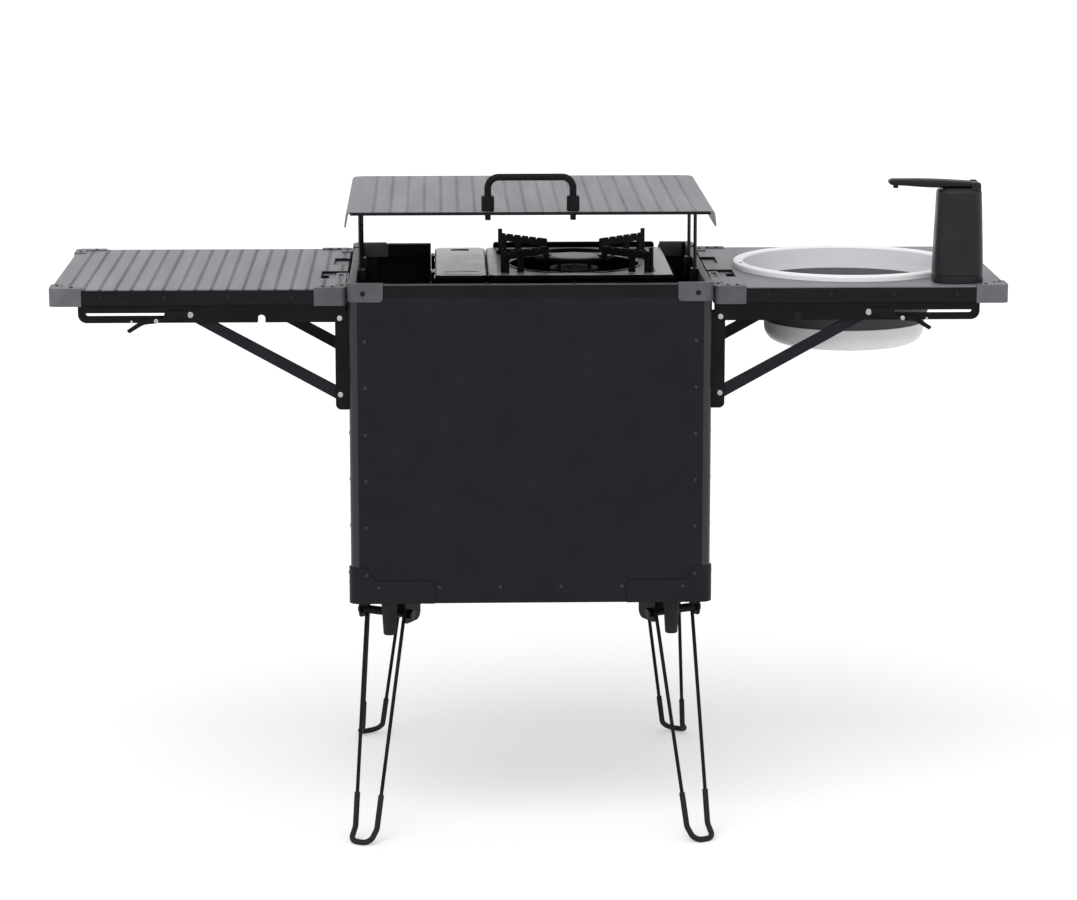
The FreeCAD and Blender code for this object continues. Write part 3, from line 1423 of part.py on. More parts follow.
def make_lid_handle():
    """Bent rod handle at the lid's back edge, with collars above and studs below the sheet."""
    x = handle_width / 2 - handle_rod_radius
    y = handle_inset - lid_depth / 2
    top = lid_top + handle_rise - handle_rod_radius
    start = lid_top + handle_collar_height / 2
    points = [Vector(-x, y, start), Vector(-x, y, top), Vector(x, y, top), Vector(x, y, start)]
    rod = rod_along(points, [0, handle_bend_radius, handle_bend_radius, 0], handle_rod_radius)
    stud_low = lid_bottom - handle_stud_length
    profile = [(0, stud_low), (handle_stud_radius, stud_low), (handle_stud_radius, lid_top),
               (handle_collar_radius, lid_top), (handle_collar_radius, lid_top + handle_collar_height),
               (0, lid_top + handle_collar_height)]
    radii = [0, lever_round, 0, lever_round, lever_round, 0]
    feet = [turned(profile, radii, Vector(side, y, 0), Vector(0, 0, 1)) for side in (-x, x)]
    return rod.multiFuse(feet)


def make_basin_rim():
    """Rolled rim that lies on the wing, with a collar down through the hole."""
    collar_radius = basin_hole_radius - basin_collar_gap
    collar_low = wing_top - basin_collar_depth
    seat = wing_top + moving_gap
    profile = [(basin_rim_radius, seat), (basin_rim_radius, basin_top),
               (collar_radius - basin_rim_wall, basin_top), (collar_radius - basin_rim_wall, collar_low),
               (collar_radius, collar_low), (collar_radius, basin_top - basin_rim_wall),
               (basin_rim_radius - basin_rim_wall, basin_top - basin_rim_wall),
               (basin_rim_radius - basin_rim_wall, seat)]
    radii = [0, basin_rim_wall, basin_rim_wall, 0, 0, 0, 0, 0]
    return turned(profile, radii, Vector(basin_x, 0, 0), Vector(0, 0, 1))


def basin_soft_outline():
    """Outer radius and height of the soft wall, from the rim's collar to the bowl."""
    top_radius = basin_hole_radius - basin_collar_gap - basin_rim_wall - running_fit
    fold_z = (basin_soft_top + basin_soft_bottom) / 2
    fold_radius = (top_radius + basin_soft_lower_radius) / 2
    return [(top_radius, basin_soft_top), (fold_radius + basin_fold_width / 2, fold_z + basin_fold_width / 2),
            (fold_radius - basin_fold_width / 2, fold_z - basin_fold_width / 2),
            (basin_soft_lower_radius, basin_soft_bottom)]


def make_basin_wall():
    """Soft wall between rim and bowl, stepped in at its fold."""
    outer = basin_soft_outline()
    inner = [(radius - basin_wall, z) for radius, z in reversed(outer)]
    return turned(outer + inner, [0, basin_fold_width / 3, basin_fold_width / 3, 0] * 2,
                  Vector(basin_x, 0, 0), Vector(0, 0, 1))


def make_basin_bowl():
    """Rigid lower bowl with a drawn corner and a flat floor."""
    high = basin_soft_bottom
    low = basin_bottom
    foot = basin_bowl_radius - basin_bowl_draft
    profile = [(0, low), (foot, low), (basin_bowl_radius, high), (basin_bowl_radius - basin_wall, high),
               (foot - basin_wall, low + basin_wall), (0, low + basin_wall)]
    radii = [0, basin_bowl_corner, 0, 0, basin_bowl_corner - basin_wall, 0]
    return turned(profile, radii, Vector(basin_x, 0, 0), Vector(0, 0, 1))


def make_pump_column():
    """Tapered pump housing with a grooved foot and two ears that hold the spout's pin."""
    def section(z, width, depth, radius):
        return rounded_rectangle(pump_x - width / 2, pump_x + width / 2, pump_y - depth / 2,
                                 pump_y + depth / 2, z, radius)

    foot_top = wing_top + pump_foot_height
    foot = rounded_prism(pump_x - pump_base_width / 2, pump_x + pump_base_width / 2,
                         pump_y - pump_base_depth / 2, pump_y + pump_base_depth / 2, wing_top,
                         foot_top, pump_corner_radius)
    column = Part.makeLoft([section(foot_top, pump_base_width, pump_base_depth, pump_corner_radius),
                            section(pump_top, pump_top_width, pump_top_depth, pump_corner_radius)],
                           True, True)
    upper = [edge for edge in column.Edges if edge.BoundBox.ZMin > pump_top - touch_limit]
    column = column.makeFillet(pump_edge_radius, upper)
    band = block(pump_x - pump_base_width, pump_x + pump_base_width, pump_y - pump_base_depth,
                 pump_y + pump_base_depth, foot_top - pump_foot_groove_height, foot_top)
    core = rounded_prism(pump_x - pump_base_width / 2 + pump_foot_groove,
                         pump_x + pump_base_width / 2 - pump_foot_groove,
                         pump_y - pump_base_depth / 2 + pump_foot_groove,
                         pump_y + pump_base_depth / 2 - pump_foot_groove,
                         foot_top - pump_foot_groove_height - overrun, foot_top + overrun,
                         pump_corner_radius - pump_foot_groove)
    housing = foot.fuse(column).cut(band.cut(core))
    ear_round = spout_thickness / 2
    inner = spout_width / 2 + moving_gap
    ears = []
    for way in (-1, 1):
        edges = sorted((pump_y + way * inner, pump_y + way * (inner + spout_ear_wall)))
        x_low = spout_pin_x - spout_ear_length / 2
        x_high = spout_pin_x + ear_round
        ear = along_y([(x_low, pump_top - pump_edge_radius), (x_high, pump_top - pump_edge_radius),
                       (x_high, spout_pin_z + ear_round), (x_low, spout_pin_z + ear_round)],
                      [0, 0, ear_round - moving_gap, ear_round - moving_gap], *edges)
        ears.append(ear)
    reach = inner + spout_ear_wall
    pin = cylinder(spout_pin_radius, Vector(spout_pin_x, pump_y - reach, spout_pin_z),
                   Vector(spout_pin_x, pump_y + reach, spout_pin_z))
    return housing.multiFuse(ears + [pin])


def make_pump_spout():
    """Flat tapered spout over the column, hinged at its right end, with a nozzle below its tip."""
    right = spout_pin_x + spout_thickness / 2
    left = right - spout_length
    root = pump_x - pump_top_width / 2
    high = spout_bottom + spout_thickness
    outline = [(right, spout_bottom), (right, high), (left, high),
               (left, spout_bottom + spout_tip_drop), (root, spout_bottom)]
    end_round = spout_thickness / 2 - running_fit
    radii = [end_round, end_round, spout_tip_drop, spout_tip_drop, spout_length / 4]
    bar = along_y(outline, radii, pump_y - spout_width / 2, pump_y + spout_width / 2)
    half = spout_width / 2
    tip_half = spout_tip_width / 2
    plan = [(right, pump_y - half), (right, pump_y + half), (root, pump_y + half),
            (left, pump_y + tip_half), (left, pump_y - tip_half), (root, pump_y - half)]
    taper = plan_prism(plan, [0, 0, spout_length / 4, tip_half - running_fit, tip_half - running_fit,
                              spout_length / 4],
                       spout_bottom - overrun, high + overrun)
    nozzle_x = left + spout_nozzle_inset
    nozzle = turned([(0, 0), (spout_nozzle_radius, 0), (spout_nozzle_radius - lever_head_height, spout_nozzle_length
                     + spout_tip_drop), (0, spout_nozzle_length + spout_tip_drop)], [0] * 4,
                    Vector(nozzle_x, pump_y, spout_bottom + spout_tip_drop), Vector(0, 0, -1))
    bore = cylinder(spout_pin_radius + running_fit, Vector(spout_pin_x, pump_y - half - overrun, spout_pin_z),
                    Vector(spout_pin_x, pump_y + half + overrun, spout_pin_z))
    return bar.common(taper).fuse(nozzle).cut(bore)


def gather_box():
    """The pieces that are fixed to the box."""
    right_panel = make_right_panel()
    channels = at_four_corners(make_wall_channel())
    return {
        "front_panel": make_front_panel(),
        "rear_panel": make_rear_panel(),
        "right_panel": right_panel,
        "left_panel": across_x(right_panel),
        "bottom_panel": make_bottom_panel(),
        "corner_posts": make_corner_posts(),
        "top_rails": make_top_rails(),
        "side_rails": make_side_rails(),
        "top_corner_brackets": make_top_corner_brackets(),
        "bottom_corner_guards": make_bottom_corner_guards(),
        "stove_shelf": make_stove_shelf(),
        "stove_bay_frame": make_stove_bay_frame(),
        "lid_post_guides": make_lid_post_guides(),
        "rest_feet": make_rest_feet(),
        "wall_channels": channels,
        "bracket_pivots": make_bracket_pivots(),
        "leg_brackets": list(corner_pieces(make_leg_bracket()).values()),
        "leg_bolts": list(corner_pieces(make_leg_bolt()).values()),
    }


def gather_legs():
    """One hairpin and one sleeve for each corner."""
    nodes = {}
    for corner, wire in corner_pieces(make_leg_wire()).items():
        nodes[corner + "_leg"] = wire
    for corner, sleeve in corner_pieces(make_leg_sleeve()).items():
        nodes[corner + "_leg_sleeve"] = sleeve
    return nodes


def gather_stove():
    """The stove in its bay."""
    return {
        "stove_body": make_stove_body(),
        "stove_top": make_stove_top(),
        "drip_pan": make_drip_pan(),
        "burner": make_burner(),
        "pan_support": make_pan_support(),
        "gas_canister": make_gas_canister(),
        "canister_cover": make_canister_cover(),
        "control_knob": make_control_knob(),
        "canister_lever": make_canister_lever(),
    }


def gather_lid():
    """The lid with its posts and handle."""
    return {
        "lid_plate": make_lid_plate(),
        "lid_posts": make_lid_posts(),
        "lid_handle": make_lid_handle(),
    }


def gather_wings():
    """Both wings with their brackets, and the basin and pump of the right one."""
    right = {
        "wing_frame": [make_wing_frame()],
        "wing_fittings": make_wing_corner_caps() + make_pocket_leaves(),
        "bracket_arms": on_both_planes(make_bracket_arm()),
        "struts": on_both_planes(make_strut()),
        "strut_pins": on_both_planes(make_strut_pin(1)) + on_both_planes(make_strut_pin(-1)),
        "release_levers": on_both_planes(make_release_lever()),
        "latch_slide": [make_latch_slide()],
    }
    nodes = {}
    for name, pieces in right.items():
        nodes["right_" + name] = pieces
        nodes["left_" + name] = [across_x(piece) for piece in pieces]
    nodes["right_wing_plate"] = make_right_wing_plate()
    nodes["left_wing_plate"] = across_x(make_wing_plate())
    nodes["basin_rim"] = make_basin_rim()
    nodes["basin_wall"] = make_basin_wall()
    nodes["basin_bowl"] = make_basin_bowl()
    nodes["pump_column"] = make_pump_column()
    nodes["pump_spout"] = make_pump_spout()
    return nodes


def export_nodes():
    """Write one file for each named piece or group of like pieces."""
    os.makedirs("parts", exist_ok=True)
    nodes = {}
    for gather in (gather_box, gather_legs, gather_stove, gather_lid, gather_wings):
        nodes.update(gather())
    for name, piece in sorted(nodes.items()):
        shape = Part.makeCompound(piece) if isinstance(piece, list) else piece
        shape.exportStep("parts/" + name + ".step")
    return nodes


parts = export_nodes()
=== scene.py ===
"""Dresses the camp kitchen box: box on wire legs, stove under a lid, two wings, basin and pump."""

import contextlib
import enum
import logging
import math
from collections.abc import Callable, Iterator
from dataclasses import dataclass

import bmesh
import bpy
import numpy as np
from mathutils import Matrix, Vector


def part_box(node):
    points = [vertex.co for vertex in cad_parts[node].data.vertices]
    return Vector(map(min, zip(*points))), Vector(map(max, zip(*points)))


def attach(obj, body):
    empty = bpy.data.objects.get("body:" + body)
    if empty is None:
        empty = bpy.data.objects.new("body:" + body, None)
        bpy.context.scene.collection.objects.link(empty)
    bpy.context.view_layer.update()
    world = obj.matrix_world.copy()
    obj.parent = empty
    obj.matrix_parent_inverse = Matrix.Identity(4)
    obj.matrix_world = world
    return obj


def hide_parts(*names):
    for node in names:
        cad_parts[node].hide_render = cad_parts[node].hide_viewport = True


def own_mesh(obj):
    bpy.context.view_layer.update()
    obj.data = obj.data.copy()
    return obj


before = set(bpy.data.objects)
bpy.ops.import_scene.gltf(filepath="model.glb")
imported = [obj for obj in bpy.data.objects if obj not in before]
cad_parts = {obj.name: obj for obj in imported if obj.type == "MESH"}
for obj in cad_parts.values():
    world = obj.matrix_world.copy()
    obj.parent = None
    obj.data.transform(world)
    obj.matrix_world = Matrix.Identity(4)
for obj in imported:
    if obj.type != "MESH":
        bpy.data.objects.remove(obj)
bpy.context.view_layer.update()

Piece = bpy.types.Object
Tree = bpy.types.NodeTree
Socket = bpy.types.NodeSocket
Array = np.ndarray
Pair = tuple[float, float]
Triple = tuple[float, float, float]

log = logging.getLogger("camp_kitchen")
MM = 0.001
SHARP_ANGLE = math.radians(32)
FLAT_ANGLE = math.radians(0.2)
WELD = 2e-6


class Named(enum.Enum):
    """A place that bodies and nodes are named after."""

    @property
    def word(self) -> str:
        """The name as the bodies and nodes spell it."""
        return self.name.lower()


class Side(Named):
    """Which wing a piece belongs to; the value is its sign along X."""

    RIGHT = 1
    LEFT = -1


class Corner(Named):
    """The four corners of the box; the value holds the signs along X and Y."""

    FRONT_LEFT = (-1, -1)
    FRONT_RIGHT = (1, -1)
    REAR_LEFT = (-1, 1)
    REAR_RIGHT = (1, 1)


def linear(colour: str) -> tuple[float, ...]:
    """Turn an sRGB hex colour into the linear values that a shader takes.

    Args:
        colour: six hex digits after a hash sign.

    Returns:
        Red, green and blue as linear shares, and an alpha of one.
    """
    shares = [int(colour[place:place + 2], 16) / 255 for place in (1, 3, 5)]
    return (*[s / 12.92 if s <= 0.04045 else ((s + 0.055) / 1.055) ** 2.4 for s in shares], 1.0)


def add(tree: Tree, kind: str, inputs: dict | None = None, **settings) -> bpy.types.Node:
    """Add one shader node.

    Args:
        tree: the material's node tree.
        kind: the node's type name.
        inputs: sockets by name or place, each given a value or a socket to link.
        settings: the node's own properties.

    Returns:
        The new node.
    """
    node = tree.nodes.new(kind)
    for name, value in settings.items():
        setattr(node, name, value)
    for name, value in (inputs or {}).items():
        if isinstance(value, Socket):
            tree.links.new(value, node.inputs[name])
        else:
            node.inputs[name].default_value = value
    return node


def ramp(tree: Tree, value: Socket, low: str, high: str) -> Socket:
    """Blend two hex colours over the middle third of a value's range."""
    node = add(tree, "ShaderNodeValToRGB", {0: value})
    for element, position, colour in zip(node.color_ramp.elements, (0.35, 0.65), (low, high)):
        element.position = position
        element.color = linear(colour)
    return node.outputs[0]


def maths(tree: Tree, operation: str, first, second=0.0, third=0.0) -> Socket:
    """One step of arithmetic on numbers or sockets."""
    return add(tree, "ShaderNodeMath", {0: first, 1: second, 2: third},
               operation=operation).outputs[0]


def remap(tree: Tree, value: Socket, low: float, high: float, start: float = 0.0,
          end: float = 1.0) -> Socket:
    """Take a value from between low and high to between start and end."""
    return add(tree, "ShaderNodeMapRange", {"Value": value, "From Min": low, "From Max": high,
                                            "To Min": start, "To Max": end}).outputs[0]


def blend(tree: Tree, share: Socket, first: Socket, second: str) -> Socket:
    """Go from a colour socket to a hex colour as the share goes from nought to one."""
    return add(tree, "ShaderNodeMix", {0: share, 6: first, 7: linear(second)},
               data_type="RGBA").outputs[2]


def object_place(tree: Tree) -> Socket:
    """Object coordinates in metres."""
    return add(tree, "ShaderNodeTexCoord").outputs["Object"]


def blank_tree(owner: bpy.types.ID) -> Tree:
    """The emptied node tree of a material or a world."""
    owner.use_nodes = True
    owner.node_tree.nodes.clear()
    return owner.node_tree


@dataclass(frozen=True)
class Finish:
    """A surface finish: two close tones in a slow mottle, uneven gloss, and a fine relief.

    Sizes are in millimetres. A relief finer than about two millimetres would not show at the
    distance of the picture, so it is drawn that coarse.
    """

    name: str
    colour: str
    second: str
    roughness: float
    swing: float = 0.06
    metallic: float = 0.0
    grain: float = 2.0
    depth: float = 0.02
    mottle: float = 45.0
    coat: float = 0.0
    coat_roughness: float = 0.1
    stretch: Triple = (1.0, 1.0, 1.0)
    specular: float = 0.5

    def place(self, tree: Tree) -> Socket:
        """Object coordinates, stretched along the way the surface was worked."""
        return add(tree, "ShaderNodeMapping", {"Vector": object_place(tree),
                                               "Scale": self.stretch}).outputs[0]

    def noise(self, tree: Tree, place: Socket, size: float, detail: float = 2.0) -> Socket:
        """Soft noise whose spots are about size millimetres across."""
        return add(tree, "ShaderNodeTexNoise", {"Vector": place, "Scale": 1 / (size * MM),
                                                "Detail": detail}).outputs["Fac"]

    def tone(self, tree: Tree, place: Socket) -> Socket:
        """Colour of the surface: the two tones in a slow mottle."""
        return ramp(tree, self.noise(tree, place, self.mottle), self.colour, self.second)

    def relief(self, tree: Tree, place: Socket) -> Socket:
        """Height of the surface, in shares of the finish's depth."""
        return self.noise(tree, place, self.grain, 3.0)

    def material(self) -> bpy.types.Material:
        """Make the material on first use, and give the same one back after that.

        Returns:
            A node material named for the real finish.
        """
        made = bpy.data.materials.get(self.name)
        if made:
            return made
        made = bpy.data.materials.new(self.name)
        tree = blank_tree(made)
        place = self.place(tree)
        gloss = remap(tree, self.noise(tree, place, self.mottle / 2), 0.3, 0.7,
                      self.roughness - self.swing, self.roughness + self.swing)
        bump = add(tree, "ShaderNodeBump", {"Height": self.relief(tree, place), "Strength": 1.0,
                                            "Distance": self.depth * MM})
        shader = add(tree, "ShaderNodeBsdfPrincipled", {
            "Base Color": self.tone(tree, place), "Metallic": self.metallic,
            "Roughness": gloss, "Normal": bump.outputs[0], "Coat Weight": self.coat,
            "Coat Roughness": self.coat_roughness, "Specular IOR Level": self.specular})
        add(tree, "ShaderNodeOutputMaterial", {"Surface": shader.outputs[0]})
        return made


@dataclass(frozen=True)
class DashedSheet(Finish):
    """Grey sheet with rows of short pressed dashes that run from front to rear."""

    line: str = "#464349"
    pitch: float = 21.8
    width: float = 4.8
    dash: float = 36.0
    gap_share: float = 0.08
    shift: float = 0.37
    offset: float = 60.54
    link: float = 0.55
    reach: float = 640.0
    blur: float = 0.6
    end_blur: float = 0.04
    sunk: float = 3.0

    def dashes(self, tree: Tree) -> Socket:
        """One on a dash and nought off it, from the place across and along the rows."""
        def from_middle(value: Socket) -> Socket:
            """How far a value's fraction is from a half."""
            fraction = maths(tree, "FRACT", value)
            return maths(tree, "ABSOLUTE", maths(tree, "SUBTRACT", fraction, 0.5))

        x, y, _ = add(tree, "ShaderNodeSeparateXYZ", {0: object_place(tree)}).outputs
        across = maths(tree, "MULTIPLY_ADD", x, 1 / (self.pitch * MM), self.offset)
        half = self.width / self.pitch / 2
        on_row = remap(tree, from_middle(across), half * (1 + self.blur), half * (1 - self.blur))
        shift = maths(tree, "MULTIPLY", maths(tree, "FLOOR", across), self.shift)
        along = maths(tree, "MULTIPLY_ADD", y, 1 / (self.dash * MM), shift)
        end = 0.5 - self.gap_share / 2
        on_dash = remap(tree, from_middle(along), end + self.end_blur, end - self.end_blur,
                        self.link)
        inside = maths(tree, "LESS_THAN", maths(tree, "ABSOLUTE", x), self.reach * MM)
        return maths(tree, "MULTIPLY", maths(tree, "MULTIPLY", on_row, on_dash), inside)

    def tone(self, tree: Tree, place: Socket) -> Socket:
        """The two sheet tones, darker on the dashes."""
        return blend(tree, self.dashes(tree), super().tone(tree, place), self.line)

    def relief(self, tree: Tree, place: Socket) -> Socket:
        """Fine grain, sunk on the dashes."""
        grain = super().relief(tree, place)
        return maths(tree, "MULTIPLY_ADD", self.dashes(tree), -self.sunk, grain)


@dataclass(frozen=True)
class BandedFinish(Finish):
    """A finish whose material changes to a paler one above a height, as in a two-shot moulding."""

    edge: float = 0.0
    upper: str = "#FFFFFF"
    blur: float = 0.25

    def tone(self, tree: Tree, place: Socket) -> Socket:
        """The mottle below the edge and the paler tone above it, with a soft change between."""
        height = add(tree, "ShaderNodeSeparateXYZ", {0: object_place(tree)}).outputs["Z"]
        above = remap(tree, height, (self.edge - self.blur) * MM, (self.edge + self.blur) * MM)
        return blend(tree, above, super().tone(tree, place), self.upper)


# Powder-coated steel sheet, sprayed and baked: near-black satin with a faint orange peel.
POWDER_SHEET = Finish("powder_coated_sheet", "#18171D", "#1C1B21", 0.46, swing=0.02, depth=0.05,
                      grain=2.4, specular=0.13)
# Rolled sheet is streaked along the way that it was rolled; tumbled castings are speckled.
ROLLED = {"metallic": 0.2, "depth": 0.012, "stretch": (1.0, 0.08, 1.0), "specular": 0.12}
TUMBLED = {"metallic": 0.25, "grain": 2.2, "depth": 0.04, "mottle": 22.0, "specular": 0.2}
# Anodised aluminium sheet: cool grey with a silky, slightly streaky sheen.
ANODISED_SHEET = Finish("anodised_sheet", "#7E7B81", "#848187", 0.44, **ROLLED)
# The same sheet with pressed rows, for the left table.
DASHED_TABLE = DashedSheet("anodised_sheet_dashed", "#7D7A80", "#858288", 0.44, **ROLLED)
# Lid sheet: the same pressing, a little darker, with paler dashes on a wider pitch.
DASHED_LID = DashedSheet("anodised_lid_dashed", "#77747A", "#7E7B81", 0.42, **ROLLED, pitch=23.1,
                         offset=9.79, reach=228.0, line="#5A575E", width=4.4)
# Die-cast aluminium fittings, tumbled and anodised: mid grey, soft highlight, fine speckle.
CAST_FITTING = Finish("cast_aluminium_fitting", "#535257", "#5C5B60", 0.46, **TUMBLED)
# The outer caps of the wings, painted paler than the inner caps: painted light, where more light
# falls on them.
PAINTED_LIGHT_FITTING = Finish("cast_aluminium_painted_light", "#636267", "#6E6D72", 0.44, **TUMBLED)
# Black anodised extrusion: dark satin with the faint draw lines of the die along it.
BLACK_EXTRUSION = Finish("black_anodised_extrusion", "#141317", "#19181C", 0.38,
                         stretch=(1.0, 1.0, 6.0), specular=0.1)
# Black stoved paint on pressed steel: a little glossier than the sheet.
BLACK_PAINT = Finish("black_stoved_paint", "#111113", "#161618", 0.38, depth=0.03, specular=0.08)
# Zinc-plated steel: bright, slightly uneven, with a hard highlight.
ZINC_STEEL = Finish("zinc_plated_steel", "#A2A2A4", "#B0B0B2", 0.30, metallic=0.85, depth=0.01,
                    mottle=12.0)
# Steel rivets under the sheet's own coat: a dull head that only catches a small light.
DULL_RIVET = Finish("coated_rivet_steel", "#1E1E21", "#28282B", 0.28, metallic=0.3, depth=0.01)
# Drawn steel post: grey metal that mirrors the dark lid and box beside it.
POST_STEEL = Finish("drawn_post_steel", "#6C6C6F", "#78787B", 0.26, metallic=0.9, depth=0.008,
                    stretch=(1.0, 1.0, 0.1))
# The black extrusion of the corner posts, paler and glossier than the rails' copy of it: a painted
# highlight, so that light runs down their noses.
POST_SHEEN_EXTRUSION = Finish("black_anodised_post_sheen", "#1C1B1F", "#232226", 0.34, depth=0.015,
                        stretch=(1.0, 1.0, 0.2), specular=0.4)
# Blackened screw steel: oiled dark metal.
BLACK_SCREW = Finish("blackened_screw_steel", "#141416", "#1C1C1F", 0.34, metallic=0.5, depth=0.01,
                     specular=0.3)
# Grey stove enamel: smooth, pale, semi-gloss with a clear skin.
GREY_ENAMEL = Finish("grey_enamel", "#CFCFD5", "#D6D6DB", 0.34, depth=0.015, grain=3.0, coat=0.1,
                     specular=0.3)
# The cover's enamel is painted much paler than the top's: painted light that stands against the
# lid's shadow on the cover.
COVER_PAINTED_LIGHT_ENAMEL = Finish("grey_enamel_painted_light", "#EBEBEF", "#F0F0F4", 0.32, depth=0.015, grain=3.0,
                      coat=0.1, specular=0.3)
# Black gloss enamel: deep black with a sharp but weak reflection.
BLACK_ENAMEL = Finish("black_gloss_enamel", "#09080B", "#0D0C10", 0.24, swing=0.04, depth=0.012,
                      grain=3.0, specular=0.04)
# Drip pan: the same enamel, duller and with no reflection at all, so that it stays as dark as when
# it mirrors dark surroundings: painted shade.
PAN_SHADED_ENAMEL = Finish("pan_enamel_painted_shade", "#0B0B0D", "#131215", 0.34, depth=0.015, grain=3.0,
                    specular=0.0)
# Sand-cast aluminium burner, machined on top: matt light metal.
BURNER_CASTING = Finish("burner_casting", "#A8A8A8", "#B4B4B4", 0.48, metallic=0.5, depth=0.06,
                        mottle=15.0)
# Enamelled iron: matt black with a pebbled skin.
IRON_ENAMEL = Finish("enamelled_iron", "#0C0C0D", "#131314", 0.55, depth=0.06, specular=0.15)
# Lithographed tin: pale paint over steel, semi-gloss.
CANISTER_TIN = Finish("painted_tin", "#D6D6D4", "#DCDCDA", 0.32, depth=0.01, coat=0.2)
# Moulded rubber: matt, with a soft grain that kills the highlight.
RUBBER = Finish("moulded_rubber", "#161618", "#1D1D1F", 0.72, depth=0.05, specular=0.25)
# Injection-moulded plastic with a fine spark-eroded texture.
KNOB_PLASTIC = Finish("moulded_knob_plastic", "#111113", "#171719", 0.42, depth=0.03, specular=0.2)
# Polypropylene: off-white, slightly waxy.
BASIN_PLASTIC = Finish("polypropylene", "#F0EFF2", "#F4F3F5", 0.38, depth=0.01, grain=3.0,
                       specular=0.3)
# Soft moulded elastomer of the basin's fold: dark grey, matt, a little chalky.
FOLD_ELASTOMER = BandedFinish("soft_elastomer", "#39373A", "#434144", 0.62, grain=2.5,
                              specular=0.25, edge=745.0, upper="#E6E5E8")
# The basin's inside: the same plastic painted greyer, as painted shade where less light reaches
# inside the rim.
BASIN_SHADED_INSIDE = Finish("polypropylene_painted_shade", "#D6D5D9", "#DAD9DD", 0.5, depth=0.01, grain=3.0,
                      specular=0.2)
# The fold's inside: painted clearly greyer than the outside, as painted shade inside the basin.
FOLD_SHADED_INSIDE = BandedFinish("soft_elastomer_painted_shade", "#59555B", "#605C62", 0.66, grain=2.5,
                           specular=0.2, edge=745.0, upper="#CFCED2")
# Moulded pump housing: near-black, satin.
PUMP_PLASTIC = Finish("moulded_pump_plastic", "#1A191D", "#201F23", 0.36, specular=0.22)


@dataclass
class Surface:
    """A grid of points, and which of its two ways runs round in a closed ring."""

    points: Array
    rows_closed: bool = False
    columns_closed: bool = True

    def faces(self, first: int) -> Array:
        """Four corners for each cell of the grid, numbered on from the first vertex."""
        rows, columns = self.points.shape[:2]
        row = np.arange(rows if self.rows_closed else rows - 1)[:, None]
        column = np.arange(columns if self.columns_closed else columns - 1)
        below, right = (row + 1) % rows, (column + 1) % columns
        cells = [row * columns + column, row * columns + right, below * columns + right,
                 below * columns + column]
        return np.stack(cells, axis=-1).reshape(-1, 4) + first

    def mirrored(self, sign: int) -> "Surface":
        """The same grid with its X values times a sign."""
        return Surface(self.points * (sign, 1, 1), self.rows_closed, self.columns_closed)


def straight(low: float, high: float, y: float, z: float) -> Array:
    """Both ends and the middle of a straight run along X."""
    return np.array([[x, y, z] for x in (low, (low + high) / 2, high)])


def closed_ends(points: Array) -> Array:
    """Add a pole at each end: a row in which every point is the mean of the end row."""
    start = np.broadcast_to(points[:1].mean(axis=1, keepdims=True), points[:1].shape)
    end = np.broadcast_to(points[-1:].mean(axis=1, keepdims=True), points[-1:].shape)
    return np.concatenate([start, points, end])


def unit(vector: Array) -> Array:
    """The vector, or each row of vectors, at length one."""
    return vector / np.linalg.norm(vector, axis=-1, keepdims=True)


def rounded_path(corners: list, radii: tuple[float, ...], steps: int = 10) -> Array:
    """Straight runs joined by tangent arcs.

    Each arc starts a setback of radius times the tangent of half the turn before its corner. Its
    point is start + radius (sin a along the run before + (1 - cos a) towards the inside).

    Args:
        corners: the path's points.
        radii: one radius for each inner corner; nought keeps it sharp.
        steps: points on each arc.

    Returns:
        The path's points as rows.
    """
    corner = np.array(corners, float)
    points = [corner[:1]]
    for before, here, after, radius in zip(corner[:-2], corner[1:-1], corner[2:], radii):
        along = unit(here - before)
        onward = unit(after - here)
        turn = math.acos(max(-1.0, min(1.0, float(along @ onward))))
        if radius == 0 or turn < 1e-4:
            points.append(here[None])
            continue
        inward = unit(onward - along * (along @ onward))
        angle = np.linspace(0, turn, steps)[:, None]
        start = here - along * radius * math.tan(turn / 2)
        points.append(start + radius * (np.sin(angle) * along + (1 - np.cos(angle)) * inward))
    points.append(corner[-1:])
    return np.concatenate(points)


def tube(path: Array, radius: float | Array, level: Triple, sides: int) -> Surface:
    """A round section carried along a path, closed at both ends.

    The point is path + radius (cos t times one vector across the path + sin t times the other).
    The first of the two is as near to level as it can be.
    """
    tangent = unit(np.gradient(path, axis=0))
    side = unit(np.cross(tangent, np.array(level, float)))
    up = np.cross(side, tangent)
    turn = np.linspace(0, 2 * math.pi, sides, endpoint=False)[:, None]
    ring = np.cos(turn) * up[:, None] + np.sin(turn) * side[:, None]
    reach = np.broadcast_to(np.asarray(radius, float), path.shape[:1])[:, None, None]
    return Surface(closed_ends(path[:, None] + reach * ring))


def turned(profile: list | tuple | Array, base: Triple, axis: Triple = (0, 0, 1),
           sides: int = 24, closed: bool = False) -> Surface:
    """A profile of radius and height turned about an axis.

    The point is base + height along the axis + radius (cos t, sin t) in the plane across it.
    """
    outline = np.array(profile, float)
    along = unit(np.array(axis, float))
    helper = (1.0, 0, 0) if abs(along[0]) < 0.9 else (0, 1.0, 0)
    first = unit(np.cross(helper, along))
    second = np.cross(along, first)
    turn = np.linspace(0, 2 * math.pi, sides, endpoint=False)
    ring = np.cos(turn)[:, None] * first + np.sin(turn)[:, None] * second
    points = outline[:, 1, None, None] * along + outline[:, 0, None, None] * ring[None]
    return Surface(points + np.array(base), rows_closed=closed)


